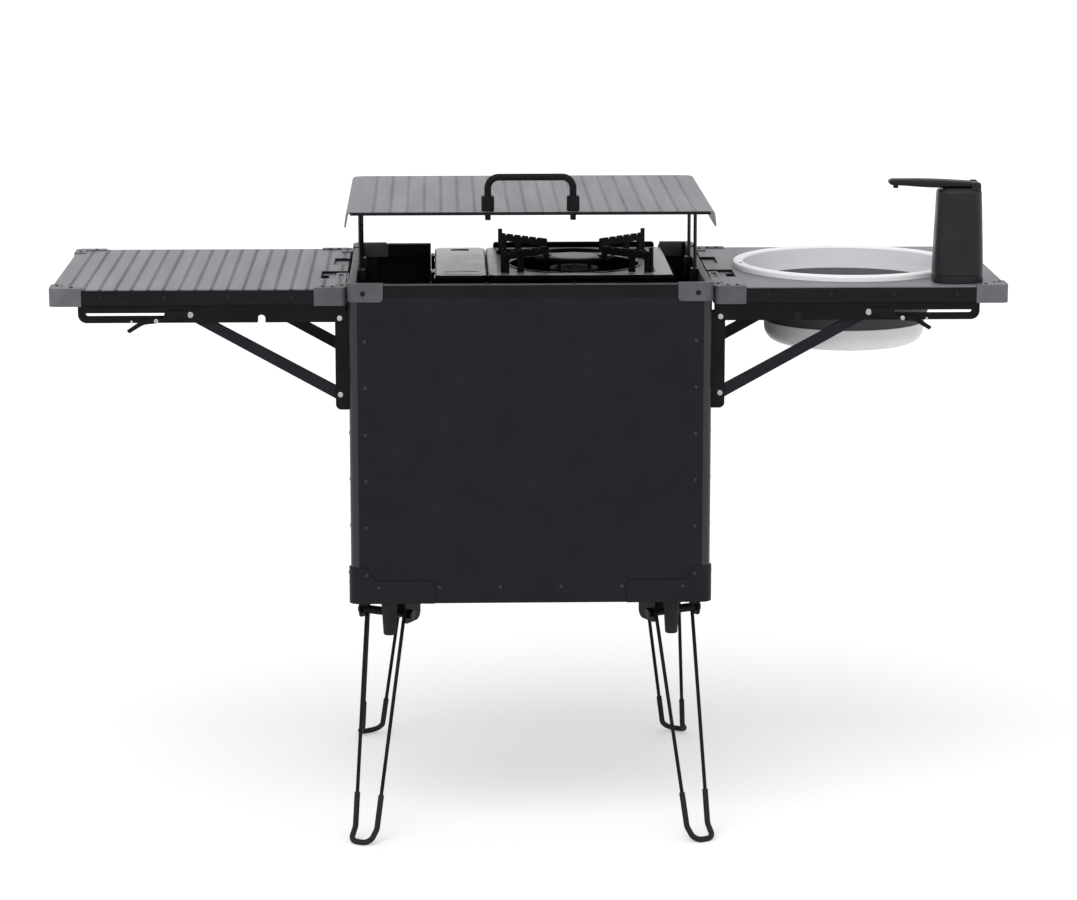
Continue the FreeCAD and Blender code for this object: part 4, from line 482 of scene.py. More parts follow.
def rounded_outline(width: float, depth: float, radius: float, steps: int) -> Array:
    """A rectangle whose corners are arcs: each is its own centre + radius (cos t, sin t)."""
    quarter = np.linspace(0, math.pi / 2, steps)
    turn = np.concatenate([quarter + place * math.pi / 2 for place in range(4)])
    sign_x = np.repeat([1, -1, -1, 1], steps)
    sign_y = np.repeat([1, 1, -1, -1], steps)
    return np.stack([sign_x * (width / 2 - radius) + radius * np.cos(turn),
                     sign_y * (depth / 2 - radius) + radius * np.sin(turn)], axis=1)


def lofted(sections: list[tuple[float, ...]], centre: Pair, steps: int) -> Surface:
    """Rounded rectangles stacked by height: each section gives height, width, depth and radius."""
    rows = []
    for height, width, depth, radius in sections:
        outline = rounded_outline(width, depth, radius, steps) + centre
        rows.append(np.column_stack([outline, np.full(len(outline), height)]))
    return Surface(closed_ends(np.array(rows)))


def arc(centre: Pair, radius: float, start: float, end: float, steps: int) -> Array:
    """Points of an arc in a profile, from one angle to another in degrees."""
    turn = np.radians(np.linspace(start, end, steps))
    return np.stack([centre[0] + radius * np.cos(turn), centre[1] + radius * np.sin(turn)], axis=1)


def linked(name: str, data: bpy.types.ID) -> Piece:
    """A new object in the scene."""
    made = bpy.data.objects.new(name, data)
    bpy.context.scene.collection.objects.link(made)
    return made


def build(name: str, surfaces: list[Surface], finish: Finish) -> Piece:
    """Make one mesh object from surfaces in millimetres.

    Args:
        name: the piece's name.
        surfaces: closed grids; their seams and poles are welded here.
        finish: what the piece is dressed in.

    Returns:
        The object, at the origin, with its place in its mesh and its faces outwards.
    """
    points, faces, first = [], [], 0
    for surface in surfaces:
        faces.append(surface.faces(first))
        points.append(surface.points.reshape(-1, 3) * MM)
        first += len(points[-1])
    mesh = bpy.data.meshes.new(name)
    mesh.from_pydata(np.concatenate(points), [], np.concatenate(faces))
    return settled(name, mesh, finish)


@contextlib.contextmanager
def editing(mesh: bpy.types.Mesh) -> Iterator[bmesh.types.BMesh]:
    """Open a mesh for editing, and write it back at the end."""
    edit = bmesh.new()
    edit.from_mesh(mesh)
    yield edit
    edit.to_mesh(mesh)
    edit.free()


def settled(name: str, mesh: bpy.types.Mesh, finish: Finish) -> Piece:
    """Weld a mesh, turn its faces outwards, smooth it by angle, and put it in the scene."""
    with editing(mesh) as edit:
        bmesh.ops.remove_doubles(edit, verts=edit.verts, dist=WELD)
        bmesh.ops.dissolve_degenerate(edit, dist=WELD / 2, edges=edit.edges)
        bmesh.ops.recalc_face_normals(edit, faces=edit.faces)
    mesh.shade_smooth()
    mesh.set_sharp_from_angle(angle=SHARP_ANGLE)
    mesh.materials.clear()
    mesh.materials.append(finish.material())
    return linked(name, mesh)


def place(piece: Piece, body: str, slot: str, *nodes: str) -> Piece:
    """Let a piece ride on a body, and let it stand for the CAD nodes given."""
    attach(piece, body)
    if nodes:
        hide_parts(*nodes)
    log.info("%s rides on %s, %d faces", piece.name, body, len(piece.data.polygons))
    return piece


def put(name: str, surfaces: list[Surface], finish: Finish, body: str, slot: str,
        *nodes: str) -> Piece:
    """Build a piece and place it."""
    return place(build(name, surfaces, finish), body, slot, *nodes)


def plate(outline: Array, low: float, high: float, edge: float = 0.0) -> Surface:
    """A convex outline in X and Z given a thickness along Y, with its rims broken by edge.

    Each row is the outline about its own middle, shrunk by the edge at both faces.
    """
    outline = np.asarray(outline, float)
    middle = outline.mean(axis=0)
    reach = np.linalg.norm(outline - middle, axis=1, keepdims=True)
    rows = []
    for depth, shrink in ((low, edge), (low + edge, 0.0), (high - edge, 0.0), (high, edge)):
        ring = middle + (outline - middle) * (1 - shrink / reach)
        rows.append(np.column_stack([ring[:, 0], np.full(len(ring), depth), ring[:, 1]]))
    return Surface(closed_ends(np.array(rows if edge else rows[1:3])))


def paint(piece: Piece, finish: Finish,
          picks: Callable[[Array, Array], Array]) -> None:
    """Give the faces that a rule picks a second finish.

    Args:
        piece: the piece, already dressed in its first finish.
        finish: the second finish.
        picks: takes the faces' centres in millimetres and their normals, and returns a mask.
    """
    mesh = piece.data
    count = len(mesh.polygons)
    centre, normal, chosen = np.empty(count * 3), np.empty(count * 3), np.empty(count, np.int32)
    for key, values in (("center", centre), ("normal", normal), ("material_index", chosen)):
        mesh.polygons.foreach_get(key, values)
    chosen[picks(centre.reshape(-1, 3) / MM, normal.reshape(-1, 3))] = len(mesh.materials)
    mesh.materials.append(finish.material())
    mesh.polygons.foreach_set("material_index", chosen)
    mesh.update()


def skin(node: str, body: str, slot: str, finish: Finish, bevel: float = 0.35) -> Piece:
    """A welded copy of a CAD node with its hard edges just broken, so that they catch the light.

    Args:
        node: the CAD node that the copy stands for.
        body: the body it rides on.
        slot: a material slot's name; it is not used.
        finish: what it is dressed in.
        bevel: width of the broken edge in millimetres; nought leaves the edges.

    Returns:
        The new piece.
    """
    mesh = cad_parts[node].data.copy()
    mesh.name = node + "_skin"
    piece = settled(node + "_skin", mesh, finish)
    with editing(mesh) as edit:
        bmesh.ops.dissolve_limit(edit, angle_limit=FLAT_ANGLE, verts=edit.verts, edges=edit.edges)
    if bevel:
        broken = piece.modifiers.new("broken_edges", "BEVEL")
        broken.width = bevel * MM
        broken.segments = 2
        broken.limit_method = "ANGLE"
        broken.angle_limit = SHARP_ANGLE
        broken.use_clamp_overlap = True
    flat = piece.modifiers.new("flat_faces", "WEIGHTED_NORMAL")
    flat.keep_sharp = True
    return place(piece, body, slot, node)


def dome(radius: float, height: float, centre: Triple, axis: Triple) -> Surface:
    """A rivet head: the profile is a half ellipse over a short straight rim."""
    rim = 0.15
    turn = np.linspace(0, math.pi / 2, 6)
    crown = np.stack([radius * np.cos(turn), height * (rim + (1 - rim) * np.sin(turn))], axis=1)
    crown[-1, 0] = 0.0
    profile = np.concatenate([[(0.0, 0.0), (radius, 0.0)], crown])
    return turned(profile, centre, axis, 16)


def screw_head(radius: float, height: float, centre: Triple, axis: Triple) -> Surface:
    """A button-head screw with a round socket: a domed rim that drops into the socket."""
    socket = radius * 0.45
    profile = [(0, 0), (radius, 0), (radius, height * 0.35), (radius * 0.82, height * 0.85),
               (radius * 0.6, height), (socket, height), (socket * 0.95, height * 0.3),
               (0, height * 0.3)]
    return turned(profile, centre, axis, 18)


@dataclass
class Studio:
    """Camera, light and floor.

    Each lamp is a sun, given by its name, its strength, and its spread, height and turn in degrees.
    """

    eye: Triple = (-0.127, -4.951, 1.482)
    pitch: float = 11.2
    yaw: float = 1.68
    focal_pixels: float = 3500.0
    width_pixels: float = 1077.0
    shift_pixels: float = 1.0
    sensor: float = 36.0
    sight: float = 200.0
    sky: float = 0.62
    lamps: tuple = (("key", 1.35, 50.0, 52.0, -28.0), ("fill", 0.35, 60.0, 38.0, 40.0))
    floor_reach: float = 60000.0
    floor_grey: float = 0.8
    floor_glow: float = 0.3

    def camera(self) -> None:
        """Look along the photograph's line of sight; the lens follows from a length in pixels."""
        data = bpy.data.cameras.new("viewer")
        data.sensor_width = self.sensor
        data.lens = self.focal_pixels / self.width_pixels * self.sensor
        data.shift_x = -self.shift_pixels / self.width_pixels
        data.clip_end = self.sight
        eye = linked("viewer", data)
        eye.location = self.eye
        eye.rotation_euler = (math.radians(90 - self.pitch), 0, math.radians(-self.yaw))
        bpy.context.scene.camera = eye

    def seen(self, tree: Tree) -> Socket:
        """One for a ray from the camera or a reflection, nought for one that lights something."""
        path = add(tree, "ShaderNodeLightPath").outputs
        mirror = maths(tree, "MAXIMUM", path["Is Glossy Ray"], path["Is Transmission Ray"])
        return maths(tree, "MAXIMUM", path["Is Camera Ray"], mirror)

    def lights(self) -> None:
        """An even pale sky, a broad key from the upper left of the viewer, and a weak fill."""
        world = bpy.data.worlds.new("studio")
        bpy.context.scene.world = world
        tree = blank_tree(world)
        strength = remap(tree, self.seen(tree), 0.0, 1.0, self.sky)
        sky = add(tree, "ShaderNodeBackground", {"Color": (1, 1, 1, 1), "Strength": strength})
        add(tree, "ShaderNodeOutputWorld", {"Surface": sky.outputs[0]})
        for name, energy, spread, height, turn in self.lamps:
            data = bpy.data.lights.new(name, "SUN")
            data.energy = energy
            data.angle = math.radians(spread)
            lamp = linked(name, data)
            lamp.rotation_euler = (math.radians(90 - height), 0, math.radians(turn))

    def floor(self) -> None:
        """A broad pale floor that stays white to the camera away from the object's shadow."""
        ends = (-self.floor_reach, self.floor_reach)
        grid = np.array([[[x, y, 0.0] for x in ends] for y in ends])
        mesh = bpy.data.meshes.new("floor")
        surface = Surface(grid, columns_closed=False)
        mesh.from_pydata(grid.reshape(-1, 3) * MM, [], surface.faces(0))
        made = bpy.data.materials.new("pale_floor")
        tree = blank_tree(made)
        matt = add(tree, "ShaderNodeBsdfDiffuse", {"Color": (*[self.floor_grey] * 3, 1)})
        lift = remap(tree, self.seen(tree), 0.0, 1.0, 0.0, self.floor_glow)
        glow = add(tree, "ShaderNodeEmission", {"Color": (1, 1, 1, 1), "Strength": lift})
        both = add(tree, "ShaderNodeAddShader", {0: matt.outputs[0], 1: glow.outputs[0]})
        add(tree, "ShaderNodeOutputMaterial", {"Surface": both.outputs[0]})
        mesh.materials.append(made)
        plane = linked("floor", mesh)

    def make(self) -> None:
        """Set up all of it."""
        bpy.context.scene.view_settings.view_transform = "Standard"
        self.camera()
        self.lights()
        self.floor()


@dataclass
class Box:
    """The sheet box with its rails, corners, rivets and screws.

    The pair for a rivet, a stud or a screw is the radius and the height of its head. A guard step
    is a reach from the box's corner and the guard's height there. The leaf's faces come with the
    width of their broken edge.
    """

    half_width: float = 250.0
    half_depth: float = 210.0
    top: float = 774.0
    guard_wall: float = 2.5
    guard_steps: tuple[Pair, ...] = ((119.0, 358.0), (26.0, 377.0))
    rivet: Pair = (2.6, 1.2)
    column_inset: float = 22.0
    column_heights: tuple[float, ...] = (694.7, 630.0, 564.5, 499.3, 433.5, 366.6)
    channel_span: Pair = (590.0, 740.0)
    row_height: float = 348.7
    row_places: tuple[float, ...] = (-211.5, -127.0, -42.3, 42.3, 127.0, 211.5)
    side_row_places: tuple[float, ...] = (-171.5, -86.0, 0.0, 86.0, 171.5)
    screw: Pair = (3.6, 1.6)
    screw_inset: float = 20.0
    screw_height: float = 762.0
    bracket_wall: float = 1.5
    bead_radius: float = 0.65
    bead_drop: float = 0.5
    bead_spans: tuple = ((-1, -201.0, 201.0), (1, -201.0, -137.0))
    stud: Pair = (3.0, 1.6)
    stud_inset: float = 5.0
    stud_places: Pair = (-59.0, 59.0)
    leaf: Triple = (36.0, 19.0, 3.0)
    leaf_place: Pair = (218.0, 764.3)
    leaf_faces: Triple = (198.6, 200.1, 0.4)
    foot_reach: float = 197.0
    foot_top: float = 326.0
    foot_base: float = 12.0
    foot_tip: float = 8.6
    foot_height: float = 47.0
    foot_edge: float = 1.5
    foot_screw: Pair = (3.2, 2.4)
    foot_recess: float = 282.8

    def shells(self) -> None:
        """The CAD's own sheets, rails, posts and corners, dressed."""
        for slot, finish, bevel, *nodes in (
                ("black_sheet", POWDER_SHEET, 0.35, "front_panel", "rear_panel", "right_panel",
                 "left_panel", "bottom_panel"),
                # The corner posts get the paler, glossier copy: a painted highlight down their
                # noses.
                ("black_rail", POST_SHEEN_EXTRUSION, 0.35, "corner_posts"),
                ("black_rail", BLACK_EXTRUSION, 0.35, "top_rails"),
                ("grey_fitting", CAST_FITTING, 0.35, "side_rails", "top_corner_brackets"),
                ("black_sheet", POWDER_SHEET, 0.35, "bottom_corner_guards", "stove_shelf"),
                ("black_rail", BLACK_EXTRUSION, 0.35, "stove_bay_frame"),
                ("knob_plastic", KNOB_PLASTIC, 0.35, "lid_post_guides"),
                ("black_steel", BLACK_PAINT, 0.25, "wall_channels", "leg_brackets"),
                ("bright_steel", ZINC_STEEL, 0.0, "bracket_pivots"),
                ("bright_steel", BLACK_SCREW, 0.0, "leg_bolts")):
            for node in nodes:
                skin(node, "box", slot, finish, bevel)

    def on_guard(self, along: float, height: float, half: float) -> bool:
        """Whether a rivet at that place sits on a corner guard rather than on the sheet."""
        return any(height < top and half - abs(along) < reach for reach, top in self.guard_steps)

    def rivets(self) -> None:
        """Blind rivets in a column beside each corner and in a row above the floor."""
        low, high = self.channel_span
        clear = [z for z in self.column_heights if not low < z < high]
        wide, deep = self.half_width, self.half_depth
        heads = []
        for way in (-1, 1):
            for half, reach, column, row in ((wide, deep, self.column_heights, self.row_places),
                                             (deep, wide, clear, self.side_row_places)):
                spots = [(side * (half - self.column_inset), z) for side in (-1, 1) for z in column]
                for along, z in spots + [(along, self.row_height) for along in row]:
                    face = way * (reach + self.guard_wall * self.on_guard(along, z, half))
                    if half == wide:
                        heads.append(dome(*self.rivet, (along, face, z), (0, way, 0)))
                    else:
                        heads.append(dome(*self.rivet, (face, along, z), (way, 0, 0)))
        put("panel_rivets", heads, DULL_RIVET, "box", "bright_steel")

    def screws(self) -> None:
        """One dark screw in each face of the top corner brackets."""
        wide, deep, wall = self.half_width, self.half_depth, self.bracket_wall
        heads = []
        for corner in Corner:
            x_way, y_way = corner.value
            for x, y, axis in ((wide - self.screw_inset, deep + wall, (0, y_way, 0)),
                               (wide + wall, deep - self.screw_inset, (x_way, 0, 0))):
                spot = (x_way * x, y_way * y, self.screw_height)
                heads.append(screw_head(*self.screw, spot, axis))
        put("bracket_screws", heads, BLACK_SCREW, "box", "black_steel")

    def beads(self) -> None:
        """The bright line along the top edge of the front and rear rails: a painted highlight.

        Each bead is a thin round rod along the rail's outer top edge. The front rail also has two
        low studs that the lid's frame stops on.
        """
        rods = [tube(straight(low, high, way * self.half_depth, self.top - self.bead_drop),
                     self.bead_radius, (0, 0, 1), 10) for way, low, high in self.bead_spans]
        # Painted highlight: pale rods along the rails' top edges.
        put("rail_edge_highlights", rods, CAST_FITTING, "box", "grey_fitting")
        studs = [dome(*self.stud, (x, self.stud_inset - self.half_depth, self.top), (0, 0, 1))
                 for x in self.stud_places]
        put("rail_stop_studs", studs, BLACK_SCREW, "box", "black_steel")

    def leaves(self) -> None:
        """Inner leaves of the rear corner brackets: rounded plates flat against the rear rail."""
        x, z = self.leaf_place
        outline = rounded_outline(*self.leaf, 6)
        plates = [plate(outline + (way * x, z), *self.leaf_faces) for way in (-1, 1)]
        put("bracket_inner_leaves", plates, CAST_FITTING, "box", "grey_fitting")

    def feet(self) -> None:
        """Tapered rubber feet: a cone with a rounded edge, and a recess for its screw."""
        base, tip, high, edge = self.foot_base, self.foot_tip, self.foot_height, self.foot_edge
        profile = [(0, 0), (base - 0.6, 0), (base, 0.8), (base - 0.3, 4.0), (base - 0.9, 4.8),
                   (tip + 0.2, high - edge * 1.6), *arc((tip - edge, high - edge), edge, 10, 90, 5),
                   (4.2, high), (3.6, high - 0.8), (3.5, high - 4), (0, high - 4)]
        spots = [(x * self.foot_reach, y * self.foot_reach) for x in (-1, 1) for y in (-1, 1)]
        feet = [turned(profile, (*spot, self.foot_top), (0, 0, -1), 40) for spot in spots]
        put("rubber_rest_feet", feet, RUBBER, "box", "foot_rubber", "rest_feet")
        screws = [screw_head(*self.foot_screw, (*spot, self.foot_recess), (0, 0, -1))
                  for spot in spots]
        put("rest_foot_screws", screws, ZINC_STEEL, "box", "bright_steel")

    def make(self) -> None:
        """Dress and build all of it."""
        self.shells()
        self.rivets()
        self.screws()
        self.beads()
        self.leaves()
        self.feet()


@dataclass
class Leg:
    """One folding hairpin leg: wire, hinge barrel and rubber sleeve.

    The stations are root, ankle and foot. Each gives the middle between the two rods along the
    hinge, half their distance, and the place outwards and up.
    """

    corner: Corner
    hinge: Triple = (203.0, 160.0, 303.0)
    turn: float = 28.0
    stations: tuple = ((0.0, 30.0, 0.0, 303.0), (23.0, 17.0, -103.0, 18.0),
                       (26.5, 15.0, -126.5, 4.0))
    bends: tuple[float, ...] = (10.0, 12.0, 12.0, 10.0)
    level: Triple = (0.0, -0.94, 0.34)
    wire_radius: float = 2.6
    wire_start: float = 4.2
    barrel_radius: float = 6.0
    barrel_half: float = 34.7
    barrel_bore: float = 3.1
    barrel_edge: float = 0.5
    sleeve_radius: float = 4.0
    sleeve_length: float = 48.0
    lip: float = 0.8
    lip_run: float = 1.2

    def world(self, points: Array) -> Array:
        """Turn points from along the hinge, outwards and up to the corner's own place."""
        angle = math.radians(-self.turn)
        x_way, y_way = self.corner.value
        along = points[..., 0] * math.cos(angle) - points[..., 1] * math.sin(angle)
        out = points[..., 0] * math.sin(angle) + points[..., 1] * math.cos(angle)
        placed = np.stack([along - self.hinge[0], out - self.hinge[1], points[..., 2]], axis=-1)
        return placed * np.array([-x_way, -y_way, 1.0])

    def hairpin(self, reach: float | None = None) -> Array:
        """The path down one rod, round the foot and up the other.

        Args:
            reach: how far up from the ankles it ends; without it the rods meet the barrel.

        Returns:
            The path's points as rows.
        """
        rods = [[np.array([middle + side * half, out, up])
                 for middle, half, out, up in self.stations] for side in (-1, 1)]
        ends = [root + unit(ankle - root) * self.wire_start if reach is None
                else ankle + unit(root - ankle) * reach for root, ankle, _ in rods]
        (_, ankle, foot), (_, far_ankle, far_foot) = rods
        return rounded_path([ends[0], ankle, foot, far_foot, far_ankle, ends[1]], self.bends)

    def barrel(self) -> Surface:
        """Hinge barrel: a tube with broken rims, turned about its bolt."""
        half, radius, edge = self.barrel_half, self.barrel_radius, self.barrel_edge
        profile = [(self.barrel_bore, -half), (radius - edge, -half), (radius, edge - half),
                   (radius, half - edge), (radius - edge, half), (self.barrel_bore, half)]
        return turned(profile, (0, 0, self.hinge[2]), (1, 0, 0), 32, closed=True)

    def sleeve(self) -> Surface:
        """Rubber sleeve over the foot, a little thinner at its two mouths."""
        path = self.hairpin(self.sleeve_length)
        run = np.concatenate([[0.0], np.cumsum(np.linalg.norm(np.diff(path, axis=0), axis=1))])
        full, inset = self.sleeve_radius, self.lip_run
        radius = np.interp(np.minimum(run, run[-1] - run), [0, 0.01, inset],
                           [full - self.lip, full - self.lip, full])
        steps = [path[0] + unit(path[1] - path[0]) * inset,
                 path[-1] + unit(path[-2] - path[-1]) * inset]
        path = np.insert(path, [1, len(path) - 1], steps, axis=0)
        radius = np.insert(radius, [1, len(radius) - 1], full)
        return tube(path, radius, self.level, 24)

    def make(self) -> None:
        """Build the wire with its barrel, and the sleeve over the foot."""
        name = self.corner.word + "_leg"
        wire = tube(self.hairpin(), self.wire_radius, self.level, 18)
        surfaces = [Surface(self.world(part.points), part.rows_closed)
                    for part in (wire, self.barrel())]
        put(name + "_wire", surfaces, BLACK_PAINT, name, "black_steel", name)
        put(name + "_boot", [Surface(self.world(self.sleeve().points))], RUBBER, name,
            "foot_rubber", name + "_sleeve")


@dataclass
class Stove:
    """The table stove in its notch, its controls and its canister.

    A profile gives radius and height. A grip step gives the height over the knob's seat and how
    much the bar grows there.
    """

    burner: Pair = (70.0, 60.0)
    burner_low: float = 771.9
    left: float = -131.5
    divider: float = -57.0
    level: float = 0.96
    line_insets: Pair = (12.0, 8.0)
    line_place: Pair = (-72.0, 767.7)
    lip_place: Pair = (94.0, 764.2)
    thread: float = 0.7
    knob: Triple = (-24.0, 206.3, 718.0)
    knob_profile: tuple = ((0, 0), (24.0, 0), (24.0, 2.2), (23.2, 3.0), (21.3, 3.2), (21.0, 4.0),
                           (21.0, 12.6), (20.4, 14.2), (19.0, 15.0), (0, 15.2))
    flutes: int = 24
    flute_depth: float = 0.7
    flute_band: Pair = (19.5, 21.5)
    grip: Triple = (11.0, 31.0, 4.0)
    grip_steps: tuple[Pair, ...] = ((12.0, 0.0), (19.0, -0.6), (22.0, -1.6), (23.0, -3.0))
    shaft: tuple = ((0, -8.3), (4.0, -8.3), (4.0, 0.5), (0, 0.5))

    def turned_down(self, centre: Array, normal: Array) -> Array:
        """Pick a pressed top's rolled edges, sides and hinge barrels, which stay black."""
        return (normal[:, 2] < self.level) | (centre[:, 0] < self.left)

    def shells(self) -> None:
        """Casing, top, cover and support from the CAD: grey above and black down the sides."""
        skin("stove_body", "box", "stove_black", BLACK_ENAMEL, 0.3)
        top = skin("stove_top", "box", "stove_grey", GREY_ENAMEL, 0.0)
        paint(top, BLACK_ENAMEL, self.turned_down)
        # Painted light: the cover is given paler enamel against the lid's shadow.
        cover = skin("canister_cover", "canister_cover", "stove_grey", COVER_PAINTED_LIGHT_ENAMEL, 0.0)
        paint(cover, BLACK_ENAMEL, self.turned_down)
        skin("pan_support", "box", "iron_black", IRON_ENAMEL, 0.5)
        burner = skin("burner", "box", "burner_metal", BURNER_CASTING, 0.0)
        paint(burner, IRON_ENAMEL, lambda centre, normal: centre[:, 2] < self.burner_low)
        # Painted shade: the pan's reflection is taken away so that it stays dark.
        skin("drip_pan", "box", "stove_black", PAN_SHADED_ENAMEL, 0.0)
        skin("gas_canister", "box", "canister_paint", CANISTER_TIN, 0.0)
        skin("canister_lever", "canister_lever", "knob_plastic", KNOB_PLASTIC, 0.4)

    def lines(self) -> None:
        """Dark line across the cover near its front, painted shade for the groove pressed there,
        and a bright ring on the pan's rolled lip, its painted highlight.
        """
        first, last = self.line_insets
        path = straight(self.left + first, self.divider - last, *self.line_place)
        # Painted shade: a black rod stands for the shade in the cover's groove.
        put("cover_groove_shade", [tube(path, self.thread, (0, 0, 1), 10)], BLACK_ENAMEL,
            "canister_cover", "stove_black")
        # Painted highlight: a bright metal ring stands for the light on the pan's lip.
        bead = arc(self.lip_place, self.thread, 0, 330, 12)
        ring = turned(bead, (*self.burner, 0.0), sides=120, closed=True)
        put("pan_lip_highlight", [ring], ZINC_STEEL, "box", "stove_black")

    def control(self) -> None:
        """Turned knob: its rim swells in flutes, and a waisted grip bar stands across its face."""
        x, y, z = self.knob
        profile = np.array(self.knob_profile)
        turn = np.linspace(0, 2 * math.pi, self.flutes * 6, endpoint=False)
        low, high = self.flute_band
        fluted = ((profile[:, 0] > low) & (profile[:, 0] < high))[:, None]
        swell = (0.5 + 0.5 * np.cos(turn * self.flutes)) ** 2
        radius = profile[:, :1] - fluted * self.flute_depth * swell
        points = np.stack([x + radius * np.cos(turn),
                           np.broadcast_to(y + profile[:, 1:], radius.shape),
                           z + radius * np.sin(turn)], axis=-1)
        width, length, corner = self.grip
        grip = []
        for height, grow in self.grip_steps:
            outline = rounded_outline(width + grow, length + grow, corner + grow / 2, 6)
            grip.append(np.column_stack([x + outline[:, 0], np.full(len(outline), y + height),
                                         z + outline[:, 1]]))
        surfaces = [Surface(points), Surface(closed_ends(np.array(grip))),
                    turned(self.shaft, self.knob, (0, 1, 0))]
        put("fluted_knob", surfaces, KNOB_PLASTIC, "control_knob", "knob_plastic", "control_knob")

    def make(self) -> None:
        """Dress and build all of it."""
        self.shells()
        self.lines()
        self.control()


@dataclass
class Lid:
    """The raised lid, its posts and its handle; the stud's pair is its radius and its length."""

    top: float = 874.0
    front: float = -200.0
    half: float = 58.25
    rod_radius: float = 4.75
    rise: float = 46.25
    bend: float = 15.0
    stud: Pair = (4.0, 12.5)
    collar_radius: float = 8.85
    collar_height: float = 21.0
    sheet_front: float = -211.0
    trim_half: float = 246.0
    trim_drops: Pair = (4.5, 0.4)
    trim_wall: float = 1.8
    trim_edge: float = 0.7
    trim_lap: float = 0.6

    def handle(self) -> None:
        """Bent rod, with a turned collar and a stud under each end."""
        low, high = self.top + self.collar_height / 2, self.top + self.rise
        path = rounded_path([(way * self.half, self.front, z) for way, z in (
            (-1, low), (-1, high), (1, high), (1, low))], (self.bend, self.bend), 16)
        radius, tall = self.collar_radius, self.collar_height
        stud, deep = self.stud
        profile = [(0, -deep), (stud - 0.8, -deep), (stud, 0.8 - deep), (stud, -0.01),
                   (radius - 1.0, -0.01), (radius, 1.0), (radius, tall - 1.4),
                   (radius - 1.4, tall), (self.rod_radius - 0.3, tall), (0, tall - 1)]
        collars = [turned(profile, (way * self.half, self.front, self.top), sides=36)
                   for way in (-1, 1)]
        put("lid_handle_rod", [tube(path, self.rod_radius, (0, 1, 0), 28), *collars], BLACK_PAINT,
            "lid", "black_steel", "lid_handle")

    def trim(self) -> None:
        """Dark strip along the lid's front edge: a rounded rectangle carried along X."""
        low, high = (self.top - drop for drop in self.trim_drops)
        middle = (self.sheet_front - self.trim_wall / 2 + self.trim_lap, (low + high) / 2)
        section = rounded_outline(self.trim_wall, high - low, self.trim_edge, 4) + middle
        grid = np.stack([np.column_stack([np.full(len(section), x), section])
                         for x in (-self.trim_half, self.trim_half)])
        put("lid_front_trim", [Surface(closed_ends(grid))], BLACK_EXTRUSION, "lid", "black_rail")

    def make(self) -> None:
        """Dress the sheet and the posts, and build handle and trim."""
        skin("lid_plate", "lid", "lid_sheet", DASHED_LID, 0.3)
        skin("lid_posts", "lid", "bright_steel", POST_STEEL, 0.0)
        self.handle()
        self.trim()


